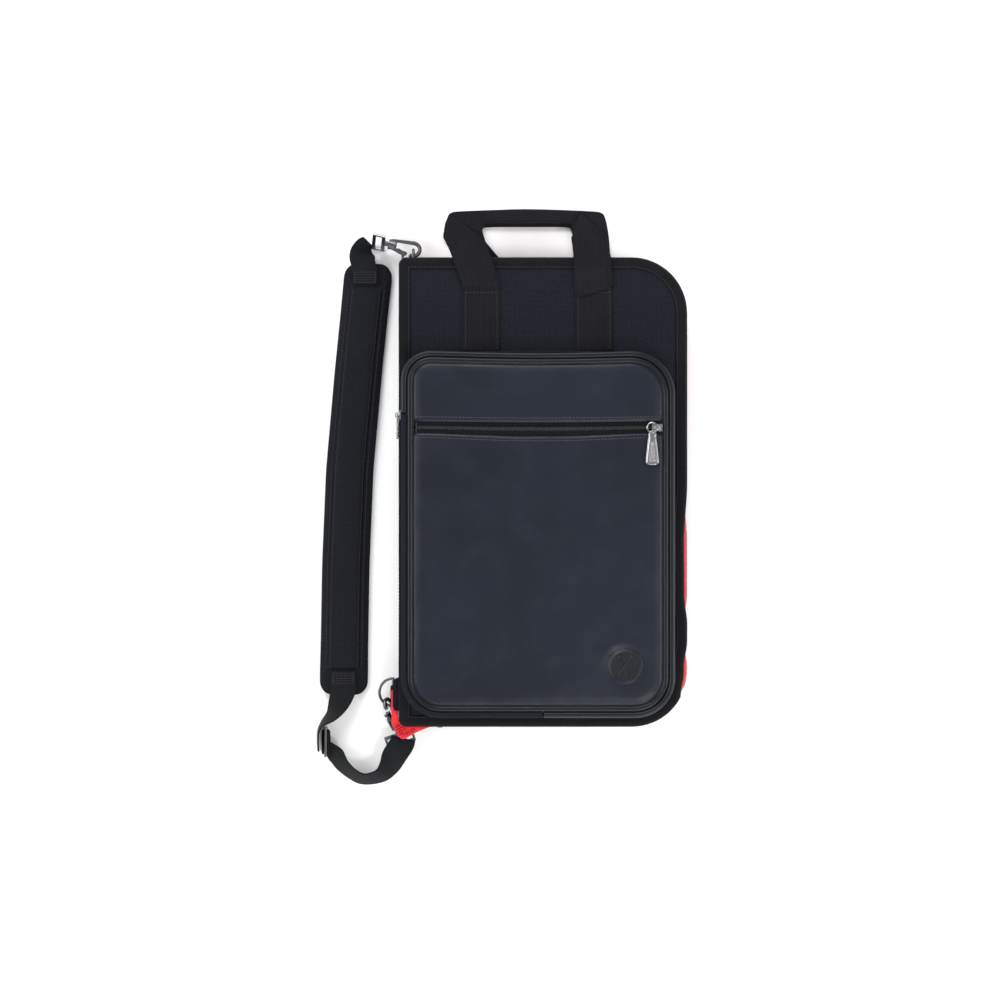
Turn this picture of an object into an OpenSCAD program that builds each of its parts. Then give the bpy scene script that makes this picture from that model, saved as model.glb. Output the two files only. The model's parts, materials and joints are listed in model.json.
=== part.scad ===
// Drum stick bag lying on its back: a padded two-half bag that opens like a book on its spine,
// with a zipped front pocket, two carry handles and a padded shoulder strap on snap hooks.
// Origin: centre of the bag's underside. +X towards the opening edge, +Y to the top, +Z up.

/* [Bag body] */
// Width of the bag from spine to opening edge
body_w = 290; // [286:1:294]
// Length of the bag from bottom to top
body_l = 472; // [468:1:476]
// Corner radius at the opening edge
edge_r = 56; // [52:1:58]
// Corner radius at the spine
spine_r = 8; // [6:1:9]
// Width of the edge binding
binding_w = 12; // [10:0.5:13]
// Thickness of each padded half's panel
panel_t = 8; // [7:0.5:8]
// Thickness of the gusset fabric
gusset_t = 3; // [2.5:0.25:3]
// Number of sewn stick channels
channel_count = 7; // [5:1:8]

/* [Front pocket] */
// Pocket's spine side edge
pocket_x0 = -142; // [-142:0.5:-141]
// Pocket's opening side edge
pocket_x1 = 131; // [128:1:132]
// Pocket's bottom edge
pocket_y0 = -225; // [-226:1:-224]
// Pocket's top edge
pocket_y1 = 141; // [139:1:142]
// Height on the spine side where the pocket zipper ends
zip_end_y = 78; // [74:1:80]
// Place on the bottom edge where the pocket zipper ends
zip_end_x = 0; // [-6:1:6]
// Height of the slash zipper's middle
slash_y = 64; // [62:1:66]

/* [Handles] */
// Width of the handle webbing
handle_w = 38; // [36:1:38]
// Thickness of the webbing
webbing_t = 1.6; // [1.4:0.1:1.6]

/* [Shoulder strap] */
// Width of the strap webbing
strap_w = 25; // [24:0.5:25]
// Width of the shoulder pad
pad_w = 50; // [48:1:51]
// Thickness of the shoulder pad
pad_t = 11; // [10:0.5:11]
// Diameter of the hook wire
hook_d = 4; // [3.8:0.1:4]
// Distance from a hook's eye to the middle of its mouth
hook_l = 36; // [35:0.5:37]

/* [Hidden] */
$fn = 48;

nylon = [0.11, 0.11, 0.14];
tape_black = [0.13, 0.14, 0.15];
leather = [0.19, 0.21, 0.25];
red = [0.93, 0.2, 0.24];
gunmetal = [0.3, 0.31, 0.33];
silver = [0.75, 0.75, 0.77];
lining = [0.3, 0.3, 0.32];

// Heights of the layers, from the underside up
back_wall_z = panel_t;
back_zip_z = 18;
front_zip_z = 20.2;
front_wall_z = 22;
front_z = 32;
top_z = front_z + panel_t;
zip_t = 1.8;
split_gap = 0.4;
pocket_zip_z = 50;
lid_z = pocket_zip_z + zip_t + split_gap;
band_z = lid_z + zip_t;
piping_z = 58;
piping_w = 6;
outer_piping_top_z = piping_z + 5.5;
skin_z = 61;
pocket_top_z = 65;
wall_inset = 5;
pocket_wall_inset = 1;
zip_inset = 4;
zip_w = 5;
lining_t = 1;

// Front handle and back handle: middles of the two legs, and the loop's reach
leg_left_x = -62;
leg_right_x = 51;
sewn_top_y = 207;
grip_y = 284;
back_pivot_y = body_l / 2 + 1;
back_grip_y = 280;

// ---- outlines -------------------------------------------------------------------------------

// Rectangle with its own radius at each corner: [bottom left, bottom right, top right, top left]
module corners(x0, x1, y0, y1, r) {
  polygon([[x0 + r[0], y0], [x1 - r[1], y0], [x1, y0 + r[1]], [x1, y1 - r[2]],
           [x1 - r[2], y1], [x0 + r[3], y1], [x0, y1 - r[3]], [x0, y0 + r[0]]]);
  translate([x0 + r[0], y0 + r[0]]) circle(r[0]);
  translate([x1 - r[1], y0 + r[1]]) circle(r[1]);
  translate([x1 - r[2], y1 - r[2]]) circle(r[2]);
  translate([x0 + r[3], y1 - r[3]]) circle(r[3]);
}

module body_outline(inset = 0) {
  radii = [for (r = [spine_r, edge_r, edge_r, spine_r]) max(r - inset, 1)];
  corners(inset - body_w / 2, body_w / 2 - inset, inset - body_l / 2, body_l / 2 - inset, radii);
}

module pocket_outline(inset = 0) {
  radii = [for (r = [40, 40, 45, 30]) r - inset];
  corners(pocket_x0 + inset, pocket_x1 - inset, pocket_y0 + inset, pocket_y1 - inset, radii);
}

module slab(z0, z1) {
  translate([0, 0, z0]) linear_extrude(z1 - z0) children();
}

module body_ring(outer, width) {
  difference() {
    body_outline(outer);
    body_outline(outer + width);
  }
}

module pocket_ring(outer, width) {
  difference() {
    pocket_outline(outer);
    pocket_outline(outer + width);
  }
}

// Strip round the three sides of the bag that carry the main zipper: all but the spine
module zipped_sides(outer, width) {
  end_y = body_l / 2 - outer - width;
  difference() {
    body_ring(outer, width);
    translate([-body_w, -body_l]) square([body_w / 2 + wall_inset, body_l * 2]);
    translate([-body_w, -end_y]) square([body_w / 2 + wall_inset + zip_w, 2 * end_y]);
  }
}

// The pocket's front folds back along a straight line between the two ends of its zipper
fold_angle = atan2(pocket_y0 - zip_end_y, zip_end_x - pocket_x0);

module lid_side() {
  intersection() {
    children();
    translate([pocket_x0, zip_end_y]) rotate(fold_angle)
      translate([-body_l, split_gap / 2]) square([body_l * 2, body_l]);
  }
}

module corner_side() {
  intersection() {
    children();
    translate([pocket_x0, zip_end_y]) rotate(fold_angle)
      translate([-body_l, -body_l - split_gap / 2]) square([body_l * 2, body_l]);
  }
}

// ---- webbing --------------------------------------------------------------------------------

// Ribbon of webbing swept along stations [x, y, z, tilt of its width above level]
function heading(s, i) =
  let (a = s[max(i - 1, 0)], b = s[min(i + 1, len(s) - 1)], d = [b.x - a.x, b.y - a.y]) d / norm(d);
function side(s, i) = let (h = heading(s, i)) [-h.y * cos(s[i][3]), h.x * cos(s[i][3]), sin(s[i][3])];
function face(s, i) = let (h = heading(s, i)) cross([h.x, h.y, 0], side(s, i));
function corner(s, i, w, t, u, v) =
  [s[i].x, s[i].y, s[i].z] + side(s, i) * w / 2 * u + face(s, i) * t / 2 * v;

module ribbon(s, w, t) {
  last = len(s) - 1;
  points = [for (i = [0:last], c = [[-1, -1], [1, -1], [1, 1], [-1, 1]]) corner(s, i, w, t, c[0], c[1])];
  sides = [for (i = [0:last - 1], k = [0:3]) let (a = 4 * i + k, b = 4 * i + (k + 1) % 4)
             each [[a, a + 4, b + 4], [a, b + 4, b]]];
  ends = [[0, 1, 2], [0, 2, 3], [4 * last + 2, 4 * last + 1, 4 * last], [4 * last + 3, 4 * last + 2, 4 * last]];
  polyhedron(points, concat(sides, ends));
}

upper_route = [[-180, 211, 12.1, 0], [-182.5, 234, 12.1, 0], [-184, 241, 12.6, 22],
               [-182, 248.5, 13.6, 48], [-177.4, 254, 14, 66]];
pad_route = [[-202, -182, 12.1, 0], [-202, -200, 12.1, 0], [-207, -214, 13, 30], [-214, -226, 13.3, 60],
             [-223, -234.5, 13.8, 80], [-227.4, -244, 13.9, 85], [-227.4, -262, 13.9, 85]];
lower_route = [[-210.5, -266, 10.4, 43], [-207.5, -270.5, 11, 47], [-203, -277, 11.5, 52], [-194, -285, 12.3, 57],
               [-185, -290, 12.6, 58], [-175, -290.6, 12.6, 58], [-163, -286.6, 11.5, 50],
               [-155.5, -278, 9, 35], [-149, -266, 6.5, 12], [-145.6, -256, 6, 0]];
strap_t = 2;
pad_middle = [[-177.5, 218], [-187, 125], [-196, 23], [-200, -74], [-202, -192]];

// ---- back half ------------------------------------------------------------------------------

leg_sewn_l = 100;

module leg_strips(y0, y1, z0, z1, grow = 0) {
  for (x = [leg_left_x, leg_right_x])
    translate([x - handle_w / 2 - grow, y0, z0]) cube([handle_w + 2 * grow, y1 - y0, z1 - z0]);
}

module back_handle_legs() color(nylon)
  leg_strips(body_l / 2 - leg_sewn_l, body_l / 2, 0, webbing_t);

module back_leg_pockets()
  leg_strips(body_l / 2 - leg_sewn_l, body_l / 2 + 1, -1, webbing_t);

module back_panel() color(nylon)
  difference() {
    slab(0, panel_t) body_outline(binding_w);
    back_leg_pockets();
  }

module back_binding() color(tape_black)
  difference() {
    slab(0, panel_t) body_ring(0, binding_w);
    back_leg_pockets();
  }

module spine_gusset() color(nylon)
  translate([-body_w / 2, spine_r - body_l / 2, back_wall_z])
    cube([wall_inset, body_l - 2 * spine_r, front_z - split_gap - back_wall_z]);

module back_gusset() color(nylon)
  slab(back_wall_z, back_zip_z)
    zipped_sides(wall_inset, gusset_t);

module main_zipper_back() color(red)
  slab(back_zip_z, back_zip_z + zip_t)
    zipped_sides(zip_inset, zip_w);

tail_z = 24;

module zipper_tail() color(red)
  slab(tail_z, tail_z + 2.5)
    polygon([[-112, -236.5], [-124, -241], [-134, -246], [-141, -251], [-147, -246], [-151, -238],
             [-153, -229], [-153, -220], [-145.5, -220], [-145.5, -230], [-137, -236.5]]);

module back_lining() color(lining)
  slab(back_wall_z, back_wall_z + lining_t) body_outline(wall_inset + gusset_t);

sleeve_x0 = -136;
sleeve_x1 = 128;
sleeve_y0 = -200;
sleeve_y1 = 100;
channel_h = 15;
seam_t = 1.5;
channel_pitch = (sleeve_x1 - sleeve_x0 - seam_t) / channel_count;

module stick_sleeve() color(nylon)
  translate([0, 0, back_wall_z + lining_t])
    difference() {
      translate([sleeve_x0, sleeve_y0, 0])
        cube([sleeve_x1 - sleeve_x0, sleeve_y1 - sleeve_y0, channel_h + seam_t]);
      for (i = [0:channel_count - 1])
        translate([sleeve_x0 + seam_t + i * channel_pitch, sleeve_y0 + seam_t, -1])
          cube([channel_pitch - seam_t, sleeve_y1 - sleeve_y0, channel_h + 1]);
    }

module handle_loop(y0, y1, z, grip_t) {
  translate([0, 0, z]) {
    // The left leg leans outwards and the grip is the webbing folded in half
    linear_extrude(webbing_t) {
      polygon([[leg_left_x - handle_w / 2, y0], [leg_left_x + handle_w / 2, y0],
               [leg_left_x + 5, y1 - 20], [leg_left_x - 12, y1 - 4], [leg_left_x - 34, y1 - 6],
               [leg_left_x - 40, y1 - 20]]);
      polygon([[leg_right_x - handle_w / 2, y0], [leg_right_x + handle_w / 2, y0],
               [leg_right_x + 14, y1 - 20], [leg_right_x, y1 - 5], [leg_right_x - 20, y1 - 10]]);
    }
    translate([leg_left_x - 12, y1 - 15, 0]) cube([leg_right_x - leg_left_x + 3, 15, grip_t]);
  }
}

// The back handle is drawn in behind the front one
module back_handle() color(nylon)
  handle_loop(back_pivot_y, back_grip_y, 0.2, 5);

tab_bore = 3.2;
tab_front = 2.3;
tab_t = 6.4;
top_tab_w = 6;
bottom_tab_w = 14;
ring_wire_d = 2.8;
top_ring_pos = [-131, 234, 14.6];
bottom_ring_pos = [-151.5, -203, 11.8];

// Webbing tab folded round a ring's bar, its bore along Z and its sewn end towards -Y
module ring_tab(width, reach) {
  difference() {
    translate([-tab_t / 2, -reach, -width / 2]) cube([tab_t, reach + tab_front, width]);
    translate([0, 0, -width]) cylinder(h = width * 2, d = tab_bore);
  }
}

module top_tab() color(tape_black)
  translate(top_ring_pos) ring_tab(top_tab_w, top_ring_pos.y - body_l / 2 + wall_inset);

module bottom_tab() color(tape_black)
  translate(bottom_ring_pos) rotate([90, 0, 0]) rotate(90)
    ring_tab(bottom_tab_w, -bottom_ring_pos.x - body_w / 2);

// Ring with its bar on the Z axis, two straight legs and a round bow towards +Y
module d_ring(r, leg) {
  translate([0, leg, 0]) rotate([0, 90, 0])
    rotate_extrude(angle = 180) translate([r, 0]) circle(d = ring_wire_d);
  translate([0, 0, -r]) cylinder(h = 2 * r, d = ring_wire_d);
  for (z = [-r, r]) translate([0, 0, z]) {
    sphere(d = ring_wire_d);
    if (leg > 0) rotate([-90, 0, 0]) cylinder(h = leg, d = ring_wire_d);
  }
}

module top_ring() color(gunmetal)
  translate(top_ring_pos) d_ring(5, 6.5);

module bottom_ring() color(gunmetal)
  translate(bottom_ring_pos) rotate([90, 0, 0]) rotate(90) d_ring(14, 0);

// ---- shoulder strap -------------------------------------------------------------------------

pad_end_r = 15;
pad_rim = 9;
inset_y0 = -178;
inset_y1 = 208;

// Band of one width along the pad's middle line
module pad_band(w, cut) {
  last = len(pad_middle) - 1;
  left = [for (i = [0:last]) [pad_middle[i].x - w / 2, pad_middle[i].y]];
  right = [for (i = [last:-1:0]) [pad_middle[i].x + w / 2, pad_middle[i].y]];
  polygon(concat(left, right));
  for (i = [0, last]) {
    out = i == 0 ? 0 : -cut;
    translate([pad_middle[i].x - w / 2 + cut, pad_middle[i].y + out]) square([w - 2 * cut, cut]);
    for (k = [-1, 1])
      translate([pad_middle[i].x + k * (w / 2 - cut), pad_middle[i].y]) circle(cut);
  }
}

module shoulder_pad() color(nylon)
  slab(0, pad_t) pad_band(pad_w, pad_end_r);

module pad_inset() color(nylon)
  slab(pad_t, pad_t + 1)
    intersection() {
      pad_band(pad_w - 2 * pad_rim, 5);
      translate([-body_w, inset_y0]) square([body_w, inset_y1 - inset_y0]);
    }

module upper_webbing() color(tape_black) ribbon(upper_route, strap_w, strap_t);
module pad_webbing() color(tape_black) ribbon(pad_route, strap_w, strap_t);
module lower_webbing() color(tape_black) ribbon(lower_route, strap_w, strap_t);

adjuster_pos = [-220.2, -253.5, 8];
adjuster_size = [30, 14.4, 2.4];
adjuster_slot = [25.6, 3.8];
adjuster_bar = 2.4;

// Standing three-bar slide with two slots
module adjuster() color(gunmetal)
  translate(adjuster_pos) rotate([90, 0, 0]) rotate([0, 90, 0])
    difference() {
      cube(adjuster_size, center = true);
      for (k = [-1, 1]) translate([0, k * (adjuster_slot.y + adjuster_bar) / 2, 0])
        cube([adjuster_slot.x, adjuster_slot.y, 2 * adjuster_size.z], center = true);
    }

collar_x = 10;
collar_l = 7;
swivel_d = 5;
swivel_bore = 5.2;
mouth_r = 6.5;
gate_pivot = [21.8, 4.6];
gate_pin_d = 2.4;
gate_bore = 2.6;
gate_barrel_d = 5;

// Frame for a hook: from its eye towards its mouth along +X, then rolled about that line
module hook_frame(mouth, yaw, roll) {
  translate(mouth) rotate([0, 0, yaw]) rotate([roll, 0, 0]) translate([-hook_l, 0, 0]) children();
}

// Rectangular eye for the webbing, with the headed swivel pin
module eye() {
  difference() {
    translate([-6.5, -15, -1.75]) cube([13, 30, 3.5]);
    translate([-3.2, -12.6, -3]) cube([6.2, 25.2, 6]);
  }
  translate([6.4, 0, 0]) rotate([0, 90, 0]) cylinder(h = collar_x + collar_l + 0.4 - 6.4, d = swivel_d);
  translate([collar_x + collar_l + 0.3, 0, 0]) rotate([0, 90, 0]) cylinder(h = 1.2, d = swivel_d + 1.6);
}

// Collar with a true bore, shank, bow of wire round the mouth and two ears for the gate's pin
module hook_body() {
  difference() {
    translate([collar_x, 0, 0]) rotate([0, 90, 0]) cylinder(h = collar_l, d = 10);
    translate([collar_x - 1, 0, 0]) rotate([0, 90, 0]) cylinder(h = collar_l + 2, d = swivel_bore);
  }
  translate([0, 0, -hook_d / 2]) linear_extrude(hook_d)
    polygon([[collar_x + 0.5, -3.4], [collar_x + collar_l, -3.4], [hook_l + 0.5, -mouth_r + hook_d / 2],
             [hook_l + 0.5, -mouth_r - hook_d / 2], [collar_x + 4, -6], [collar_x + 0.5, -4.6]]);
  translate([hook_l, 0, 0]) rotate(-90)
    rotate_extrude(angle = 205) translate([mouth_r, 0]) circle(d = hook_d);
  for (z = [-3.4, 2]) translate([0, 0, z]) linear_extrude(1.4) {
    polygon([[collar_x + 3, 3.2], [collar_x + collar_l, 3.2], [gate_pivot.x, gate_pivot.y - 2.3],
             [gate_pivot.x, gate_pivot.y + 2.3], [collar_x + collar_l, 5.4], [collar_x + 3, 4.6]]);
    translate(gate_pivot) circle(d = gate_barrel_d - 0.2);
  }
  translate([gate_pivot.x, gate_pivot.y, -3.4]) cylinder(h = 6.8, d = gate_pin_d);
}

// Sprung gate with its barrel on the pin and a thumb lever outside the hook
module gate() {
  difference() {
    union() {
      translate([gate_pivot.x, gate_pivot.y, -1.8]) cylinder(h = 3.6, d = gate_barrel_d);
      translate([0, 0, -1.8]) linear_extrude(3.6)
        polygon([[gate_pivot.x, gate_pivot.y - 2], [hook_l - 5.4, 4], [hook_l - 5.7, 7],
                 [gate_pivot.x + 6.5, 8.2], [gate_pivot.x + 7, 11.5], [gate_pivot.x + 4.5, 11.5],
                 [gate_pivot.x + 3.5, 8], [gate_pivot.x, gate_pivot.y + 2.4]]);
    }
    translate([gate_pivot.x, gate_pivot.y, -3]) cylinder(h = 6, d = gate_bore);
  }
}

top_mouth = [-131, 245.5, 14.6];
top_yaw = -13;
top_eye_roll = 66;
bottom_mouth = [-156.3, -216.1, 12];
bottom_yaw = 109;
bottom_roll = 62;

module top_eye() color(gunmetal) hook_frame(top_mouth, top_yaw, top_eye_roll) eye();
module top_hook() color(gunmetal) hook_frame(top_mouth, top_yaw, 180) hook_body();
module top_gate() color(gunmetal) hook_frame(top_mouth, top_yaw, 180) gate();
module bottom_eye() color(gunmetal) hook_frame(bottom_mouth, bottom_yaw, 0) eye();
module bottom_hook() color(gunmetal) hook_frame(bottom_mouth, bottom_yaw, bottom_roll) hook_body();
module bottom_gate() color(gunmetal) hook_frame(bottom_mouth, bottom_yaw, bottom_roll) gate();

// ---- front half -----------------------------------------------------------------------------

module front_panel() color(nylon) slab(front_z, top_z) body_outline(binding_w);
module front_binding() color(tape_black) slab(front_z, top_z) body_ring(0, binding_w);

module front_gusset() color(nylon)
  slab(front_wall_z, front_z) zipped_sides(wall_inset, gusset_t);

module main_zipper_front() color(red)
  slab(front_zip_z, front_wall_z) zipped_sides(zip_inset, zip_w);

module front_lining() color(lining)
  slab(front_z - lining_t, front_z) body_outline(wall_inset + gusset_t);

pouch_corner = [-120, -190];
pouch_size = [220, 250, 4.5];
pouch_wall = 1.5;

// Flat pouch sewn to the inside of the front half, open at its top edge
module inner_pocket() color(nylon)
  translate([pouch_corner.x, pouch_corner.y, front_z - lining_t - pouch_size.z])
    difference() {
      cube(pouch_size);
      translate([pouch_wall, pouch_wall, 1])
        cube([pouch_size.x - 2 * pouch_wall, pouch_size.y, pouch_size.z]);
    }

module front_handle_legs() color(nylon)
  leg_strips(pocket_y1 + 0.5, sewn_top_y, top_z, top_z + webbing_t);

module front_handle() color(nylon)
  handle_loop(sewn_top_y + split_gap, grip_y, top_z + split_gap, 5.5);

// ---- front pocket ---------------------------------------------------------------------------

module pocket_gusset() color(nylon)
  slab(top_z, pocket_zip_z) pocket_ring(pocket_wall_inset, gusset_t);

module pocket_zipper_lower() color(tape_black)
  slab(pocket_zip_z, pocket_zip_z + zip_t) lid_side() pocket_ring(0, zip_w);

module corner_gusset() color(nylon)
  slab(pocket_zip_z, piping_z) corner_side() pocket_ring(pocket_wall_inset, gusset_t);

module corner_piping() color(leather) {
  slab(piping_z, outer_piping_top_z) corner_side() pocket_ring(0, piping_w);
  slab(piping_z, pocket_top_z) corner_side() pocket_ring(piping_w, piping_w);
}

module corner_panel() color(leather)
  slab(skin_z, pocket_top_z) corner_side() pocket_outline(2 * piping_w);

module lid_band() color(leather)
  slab(band_z, piping_z) lid_side() pocket_ring(pocket_wall_inset, gusset_t);

module pocket_zipper_upper() color(tape_black)
  slab(lid_z, band_z) lid_side() pocket_ring(0, zip_w);

module outer_piping() color(leather)
  slab(piping_z, outer_piping_top_z) lid_side() pocket_ring(0, piping_w);

module inner_piping() color(leather)
  slab(piping_z, pocket_top_z) lid_side() pocket_ring(piping_w, piping_w);

slash_half = 9;
emblem_pos = [81, -173];
emblem_r = 19;
emblem_depth = 1;
emblem_bar = [2, 26];

// Part of the moving panel between two heights up the bag
module panel_between(y0, y1)
  intersection() {
    lid_side() pocket_outline(2 * piping_w);
    translate([-body_w, y0]) square([2 * body_w, y1 - y0]);
  }

module panel_lower() color(leather)
  difference() {
    slab(skin_z, pocket_top_z) panel_between(-body_l, slash_y - slash_half);
    translate([emblem_pos.x, emblem_pos.y, pocket_top_z - emblem_depth])
      cylinder(h = 2 * emblem_depth, r = emblem_r);
  }

module panel_upper() color(leather)
  slab(skin_z, pocket_top_z) panel_between(slash_y + slash_half, body_l);

coil_z = 62.5;
coil_w = 4;
coil_t = 1.5;
flap_w = 4.5;

module slash_tape() color(tape_black)
  slab(skin_z, coil_z) panel_between(slash_y - slash_half, slash_y + slash_half);

module slash_coil() color(tape_black)
  slab(coil_z, coil_z + coil_t) panel_between(slash_y - coil_w / 2, slash_y + coil_w / 2);

module slash_flap() color(leather)
  slab(coil_z, coil_z + 1.8) panel_between(slash_y + slash_half - flap_w, slash_y + slash_half);

module slash_liner() color(lining)
  slab(band_z + 0.5, band_z + 0.5 + lining_t) lid_side() pocket_outline(pocket_wall_inset + gusset_t);

// Sunken disc with two crossed sticks
module emblem() color(leather)
  translate([emblem_pos.x, emblem_pos.y, pocket_top_z - emblem_depth]) {
    cylinder(h = emblem_depth / 2, r = emblem_r - 0.2);
    for (a = [-35, 35]) rotate(a)
      translate([-emblem_bar.x / 2, -emblem_bar.y / 2, emblem_depth / 2])
        cube([emblem_bar.x, emblem_bar.y, 0.6]);
  }

// ---- zipper sliders -------------------------------------------------------------------------

// A slider's own frame: it runs along X on a tape in the XY plane, with its pull side up +Z.
// Its bridge stands over the link ring's wire, and the puller hangs on the ring.
link_r = 5;
link_d = 1.6;
link_h = 3.4;
bridge_bore = 3;
puller_bore = 2.8;
puller_eye_d = 4.6;
puller_t = 1.6;

module slider_piece() {
  translate([-5, -3.5, 0]) cube([10, 7, 1.2]);
  difference() {
    translate([-2.6, -1.5, 1.2]) cube([5.2, 3, link_h + 1.2]);
    translate([0, -3, link_h]) rotate([-90, 0, 0]) cylinder(h = 6, d = bridge_bore);
  }
}

module link_piece()
  translate([-link_r, 0, link_h])
    rotate_extrude() translate([link_r, 0]) circle(d = link_d);

// Puller with its barrel eye at the origin, hanging towards -Y and widening to its end
module puller_piece(length) {
  difference() {
    union() {
      translate([-2, 0, 0]) rotate([0, 90, 0]) cylinder(h = 4, d = puller_eye_d);
      translate([0, 0, -puller_t / 2]) linear_extrude(puller_t)
        polygon([[-2, -1], [2, -1], [4.5, -4], [6.6, 3 - length], [4.5, -length], [-4.5, -length],
                 [-6.6, 3 - length], [-4.5, -4]]);
    }
    translate([-5, 0, 0]) rotate([0, 90, 0]) cylinder(h = 10, d = puller_bore);
  }
}

slash_pos = [113, slash_y, 64.3];
pocket_pos = [pocket_x0 - 0.3, 77, pocket_zip_z + zip_t];
main_pos = [-104, zip_inset - body_l / 2 - 0.3, front_zip_z - split_gap / 2];

module pocket_frame() translate(pocket_pos) rotate([-90, 0, 90]) children();
module main_frame() translate(main_pos) rotate([-90, 0, 180]) children();

// The puller on an upright side hangs in line with the zipper, from the ring's far side
module inline_puller(length)
  translate([-2 * link_r, 0, link_h]) rotate(-90) puller_piece(length);

module slash_slider() color(silver) translate(slash_pos) slider_piece();
module slash_link() color(silver) translate(slash_pos) link_piece();
module slash_puller() color(silver)
  translate(slash_pos) translate([-link_r, -link_r, link_h]) puller_piece(32);

module pocket_slider() color(silver) pocket_frame() slider_piece();
module pocket_link() color(silver) pocket_frame() link_piece();
module pocket_puller() color(silver) pocket_frame() inline_puller(14);

module main_slider() color(silver) main_frame() slider_piece();
module main_link() color(silver) main_frame() link_piece();
module main_puller() color(silver) main_frame() inline_puller(32);

// ---- what is drawn --------------------------------------------------------------------------

back_panel();
back_binding();
spine_gusset();
back_gusset();
main_zipper_back();
zipper_tail();
back_lining();
stick_sleeve();
back_handle_legs();
back_handle();
top_tab();
bottom_tab();
top_ring();
bottom_ring();
shoulder_pad();
pad_inset();
upper_webbing();
pad_webbing();
lower_webbing();
adjuster();
top_eye();
top_hook();
top_gate();
bottom_eye();
bottom_hook();
bottom_gate();
front_panel();
front_binding();
front_gusset();
main_zipper_front();
front_lining();
inner_pocket();
front_handle_legs();
front_handle();
pocket_gusset();
pocket_zipper_lower();
corner_gusset();
corner_piping();
corner_panel();
lid_band();
pocket_zipper_upper();
outer_piping();
inner_piping();
panel_lower();
panel_upper();
slash_tape();
slash_coil();
slash_flap();
slash_liner();
emblem();
slash_slider();
slash_link();
slash_puller();
pocket_slider();
pocket_link();
pocket_puller();
main_slider();
main_link();
main_puller();
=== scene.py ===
import json
import math

import bmesh
import bpy
import numpy as np
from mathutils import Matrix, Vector, noise
from mathutils.bvhtree import BVHTree


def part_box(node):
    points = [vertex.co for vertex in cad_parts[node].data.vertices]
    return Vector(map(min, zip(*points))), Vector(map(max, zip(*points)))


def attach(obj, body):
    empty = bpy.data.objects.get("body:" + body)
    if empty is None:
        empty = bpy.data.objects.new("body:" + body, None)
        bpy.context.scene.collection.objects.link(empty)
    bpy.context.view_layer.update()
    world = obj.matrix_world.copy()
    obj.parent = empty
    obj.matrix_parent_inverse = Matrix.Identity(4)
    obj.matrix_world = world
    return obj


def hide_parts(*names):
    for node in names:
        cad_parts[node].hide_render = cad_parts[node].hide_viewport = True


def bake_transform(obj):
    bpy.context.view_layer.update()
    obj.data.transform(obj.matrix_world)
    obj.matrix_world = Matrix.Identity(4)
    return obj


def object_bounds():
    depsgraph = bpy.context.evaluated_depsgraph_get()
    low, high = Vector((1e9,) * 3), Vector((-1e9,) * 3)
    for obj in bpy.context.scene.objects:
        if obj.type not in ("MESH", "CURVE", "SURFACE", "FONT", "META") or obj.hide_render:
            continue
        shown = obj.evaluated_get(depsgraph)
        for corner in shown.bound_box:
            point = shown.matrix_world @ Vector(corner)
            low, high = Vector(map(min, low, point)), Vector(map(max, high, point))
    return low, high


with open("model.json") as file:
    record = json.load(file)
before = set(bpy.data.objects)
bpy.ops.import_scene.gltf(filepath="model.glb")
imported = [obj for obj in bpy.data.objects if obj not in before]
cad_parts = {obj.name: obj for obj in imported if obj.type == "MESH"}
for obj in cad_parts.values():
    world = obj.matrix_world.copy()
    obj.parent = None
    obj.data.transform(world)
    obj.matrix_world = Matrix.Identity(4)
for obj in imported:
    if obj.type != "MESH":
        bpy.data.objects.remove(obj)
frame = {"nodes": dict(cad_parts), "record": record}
cad_low, cad_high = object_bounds()
NODES = frame["nodes"]

# Sizes and places below are in millimetres; every mesh is scaled to metres as it is made.
MM = 0.001


# ---- camera, floor and light ----------------------------------------------------------------

def add_object(name, data):
    made = bpy.data.objects.new(name, data)
    bpy.context.scene.collection.objects.link(made)
    return made


def make_camera():
    """Straight above the middle of the laid-out bag and strap, from as far as a long lens stands."""
    distance, span, sensor = 2.7, 1.0, 36
    camera = add_object("camera", bpy.data.cameras.new("camera"))
    camera.data.sensor_width = sensor
    camera.data.lens = sensor * distance / span
    middle = (cad_low + cad_high) / 2
    camera.location = (middle.x - 0.001, middle.y - 0.001, distance + 0.05)
    bpy.context.scene.camera = camera


def area_light(name, place, size, power, target=(0, 0, 0.03)):
    light = add_object(name, bpy.data.lights.new(name, "AREA"))
    light.data.shape = "RECTANGLE"
    light.data.size, light.data.size_y = size
    light.data.energy = power
    light.location = place
    light.rotation_euler = (Vector(target) - light.location).to_track_quat("-Z", "Y").to_euler()


def make_studio():
    world = bpy.data.worlds.new("studio")
    world.use_nodes = True
    world.node_tree.nodes["Background"].inputs["Color"].default_value = (0.97, 0.985, 1, 1)
    world.node_tree.nodes["Background"].inputs["Strength"].default_value = 0.5
    bpy.context.scene.world = world
    area_light("top_softbox", (-0.5, 1.9, 1.5), (1.6, 1.0), 42)
    area_light("side_softbox", (-1.9, 0.2, 1.5), (1.2, 1.6), 30)
    area_light("right_softbox", (1.9, -0.2, 1.3), (1.0, 1.6), 26)
    area_light("low_softbox", (0.2, -1.7, 0.9), (1.8, 0.6), 20)
    area_light("corner_softbox", (0.75, -1.35, 2.1), (0.3, 0.3), 16, target=(0.1, -0.2, 0.06))
    bpy.context.scene.view_settings.view_transform = "Standard"


def make_floor():
    bpy.ops.mesh.primitive_plane_add(size=14, location=(0, 0, 0))
    floor = bpy.context.object
    floor.name = "floor"
    pale = Nodes("pale_floor")
    pale.set("Base Color", (0.93, 0.93, 0.93, 1))
    pale.set("Roughness", 0.9)
    pale.set("Specular IOR Level", 0.1)
    floor.data.materials.append(pale.material)


# ---- materials ------------------------------------------------------------------------------

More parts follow.
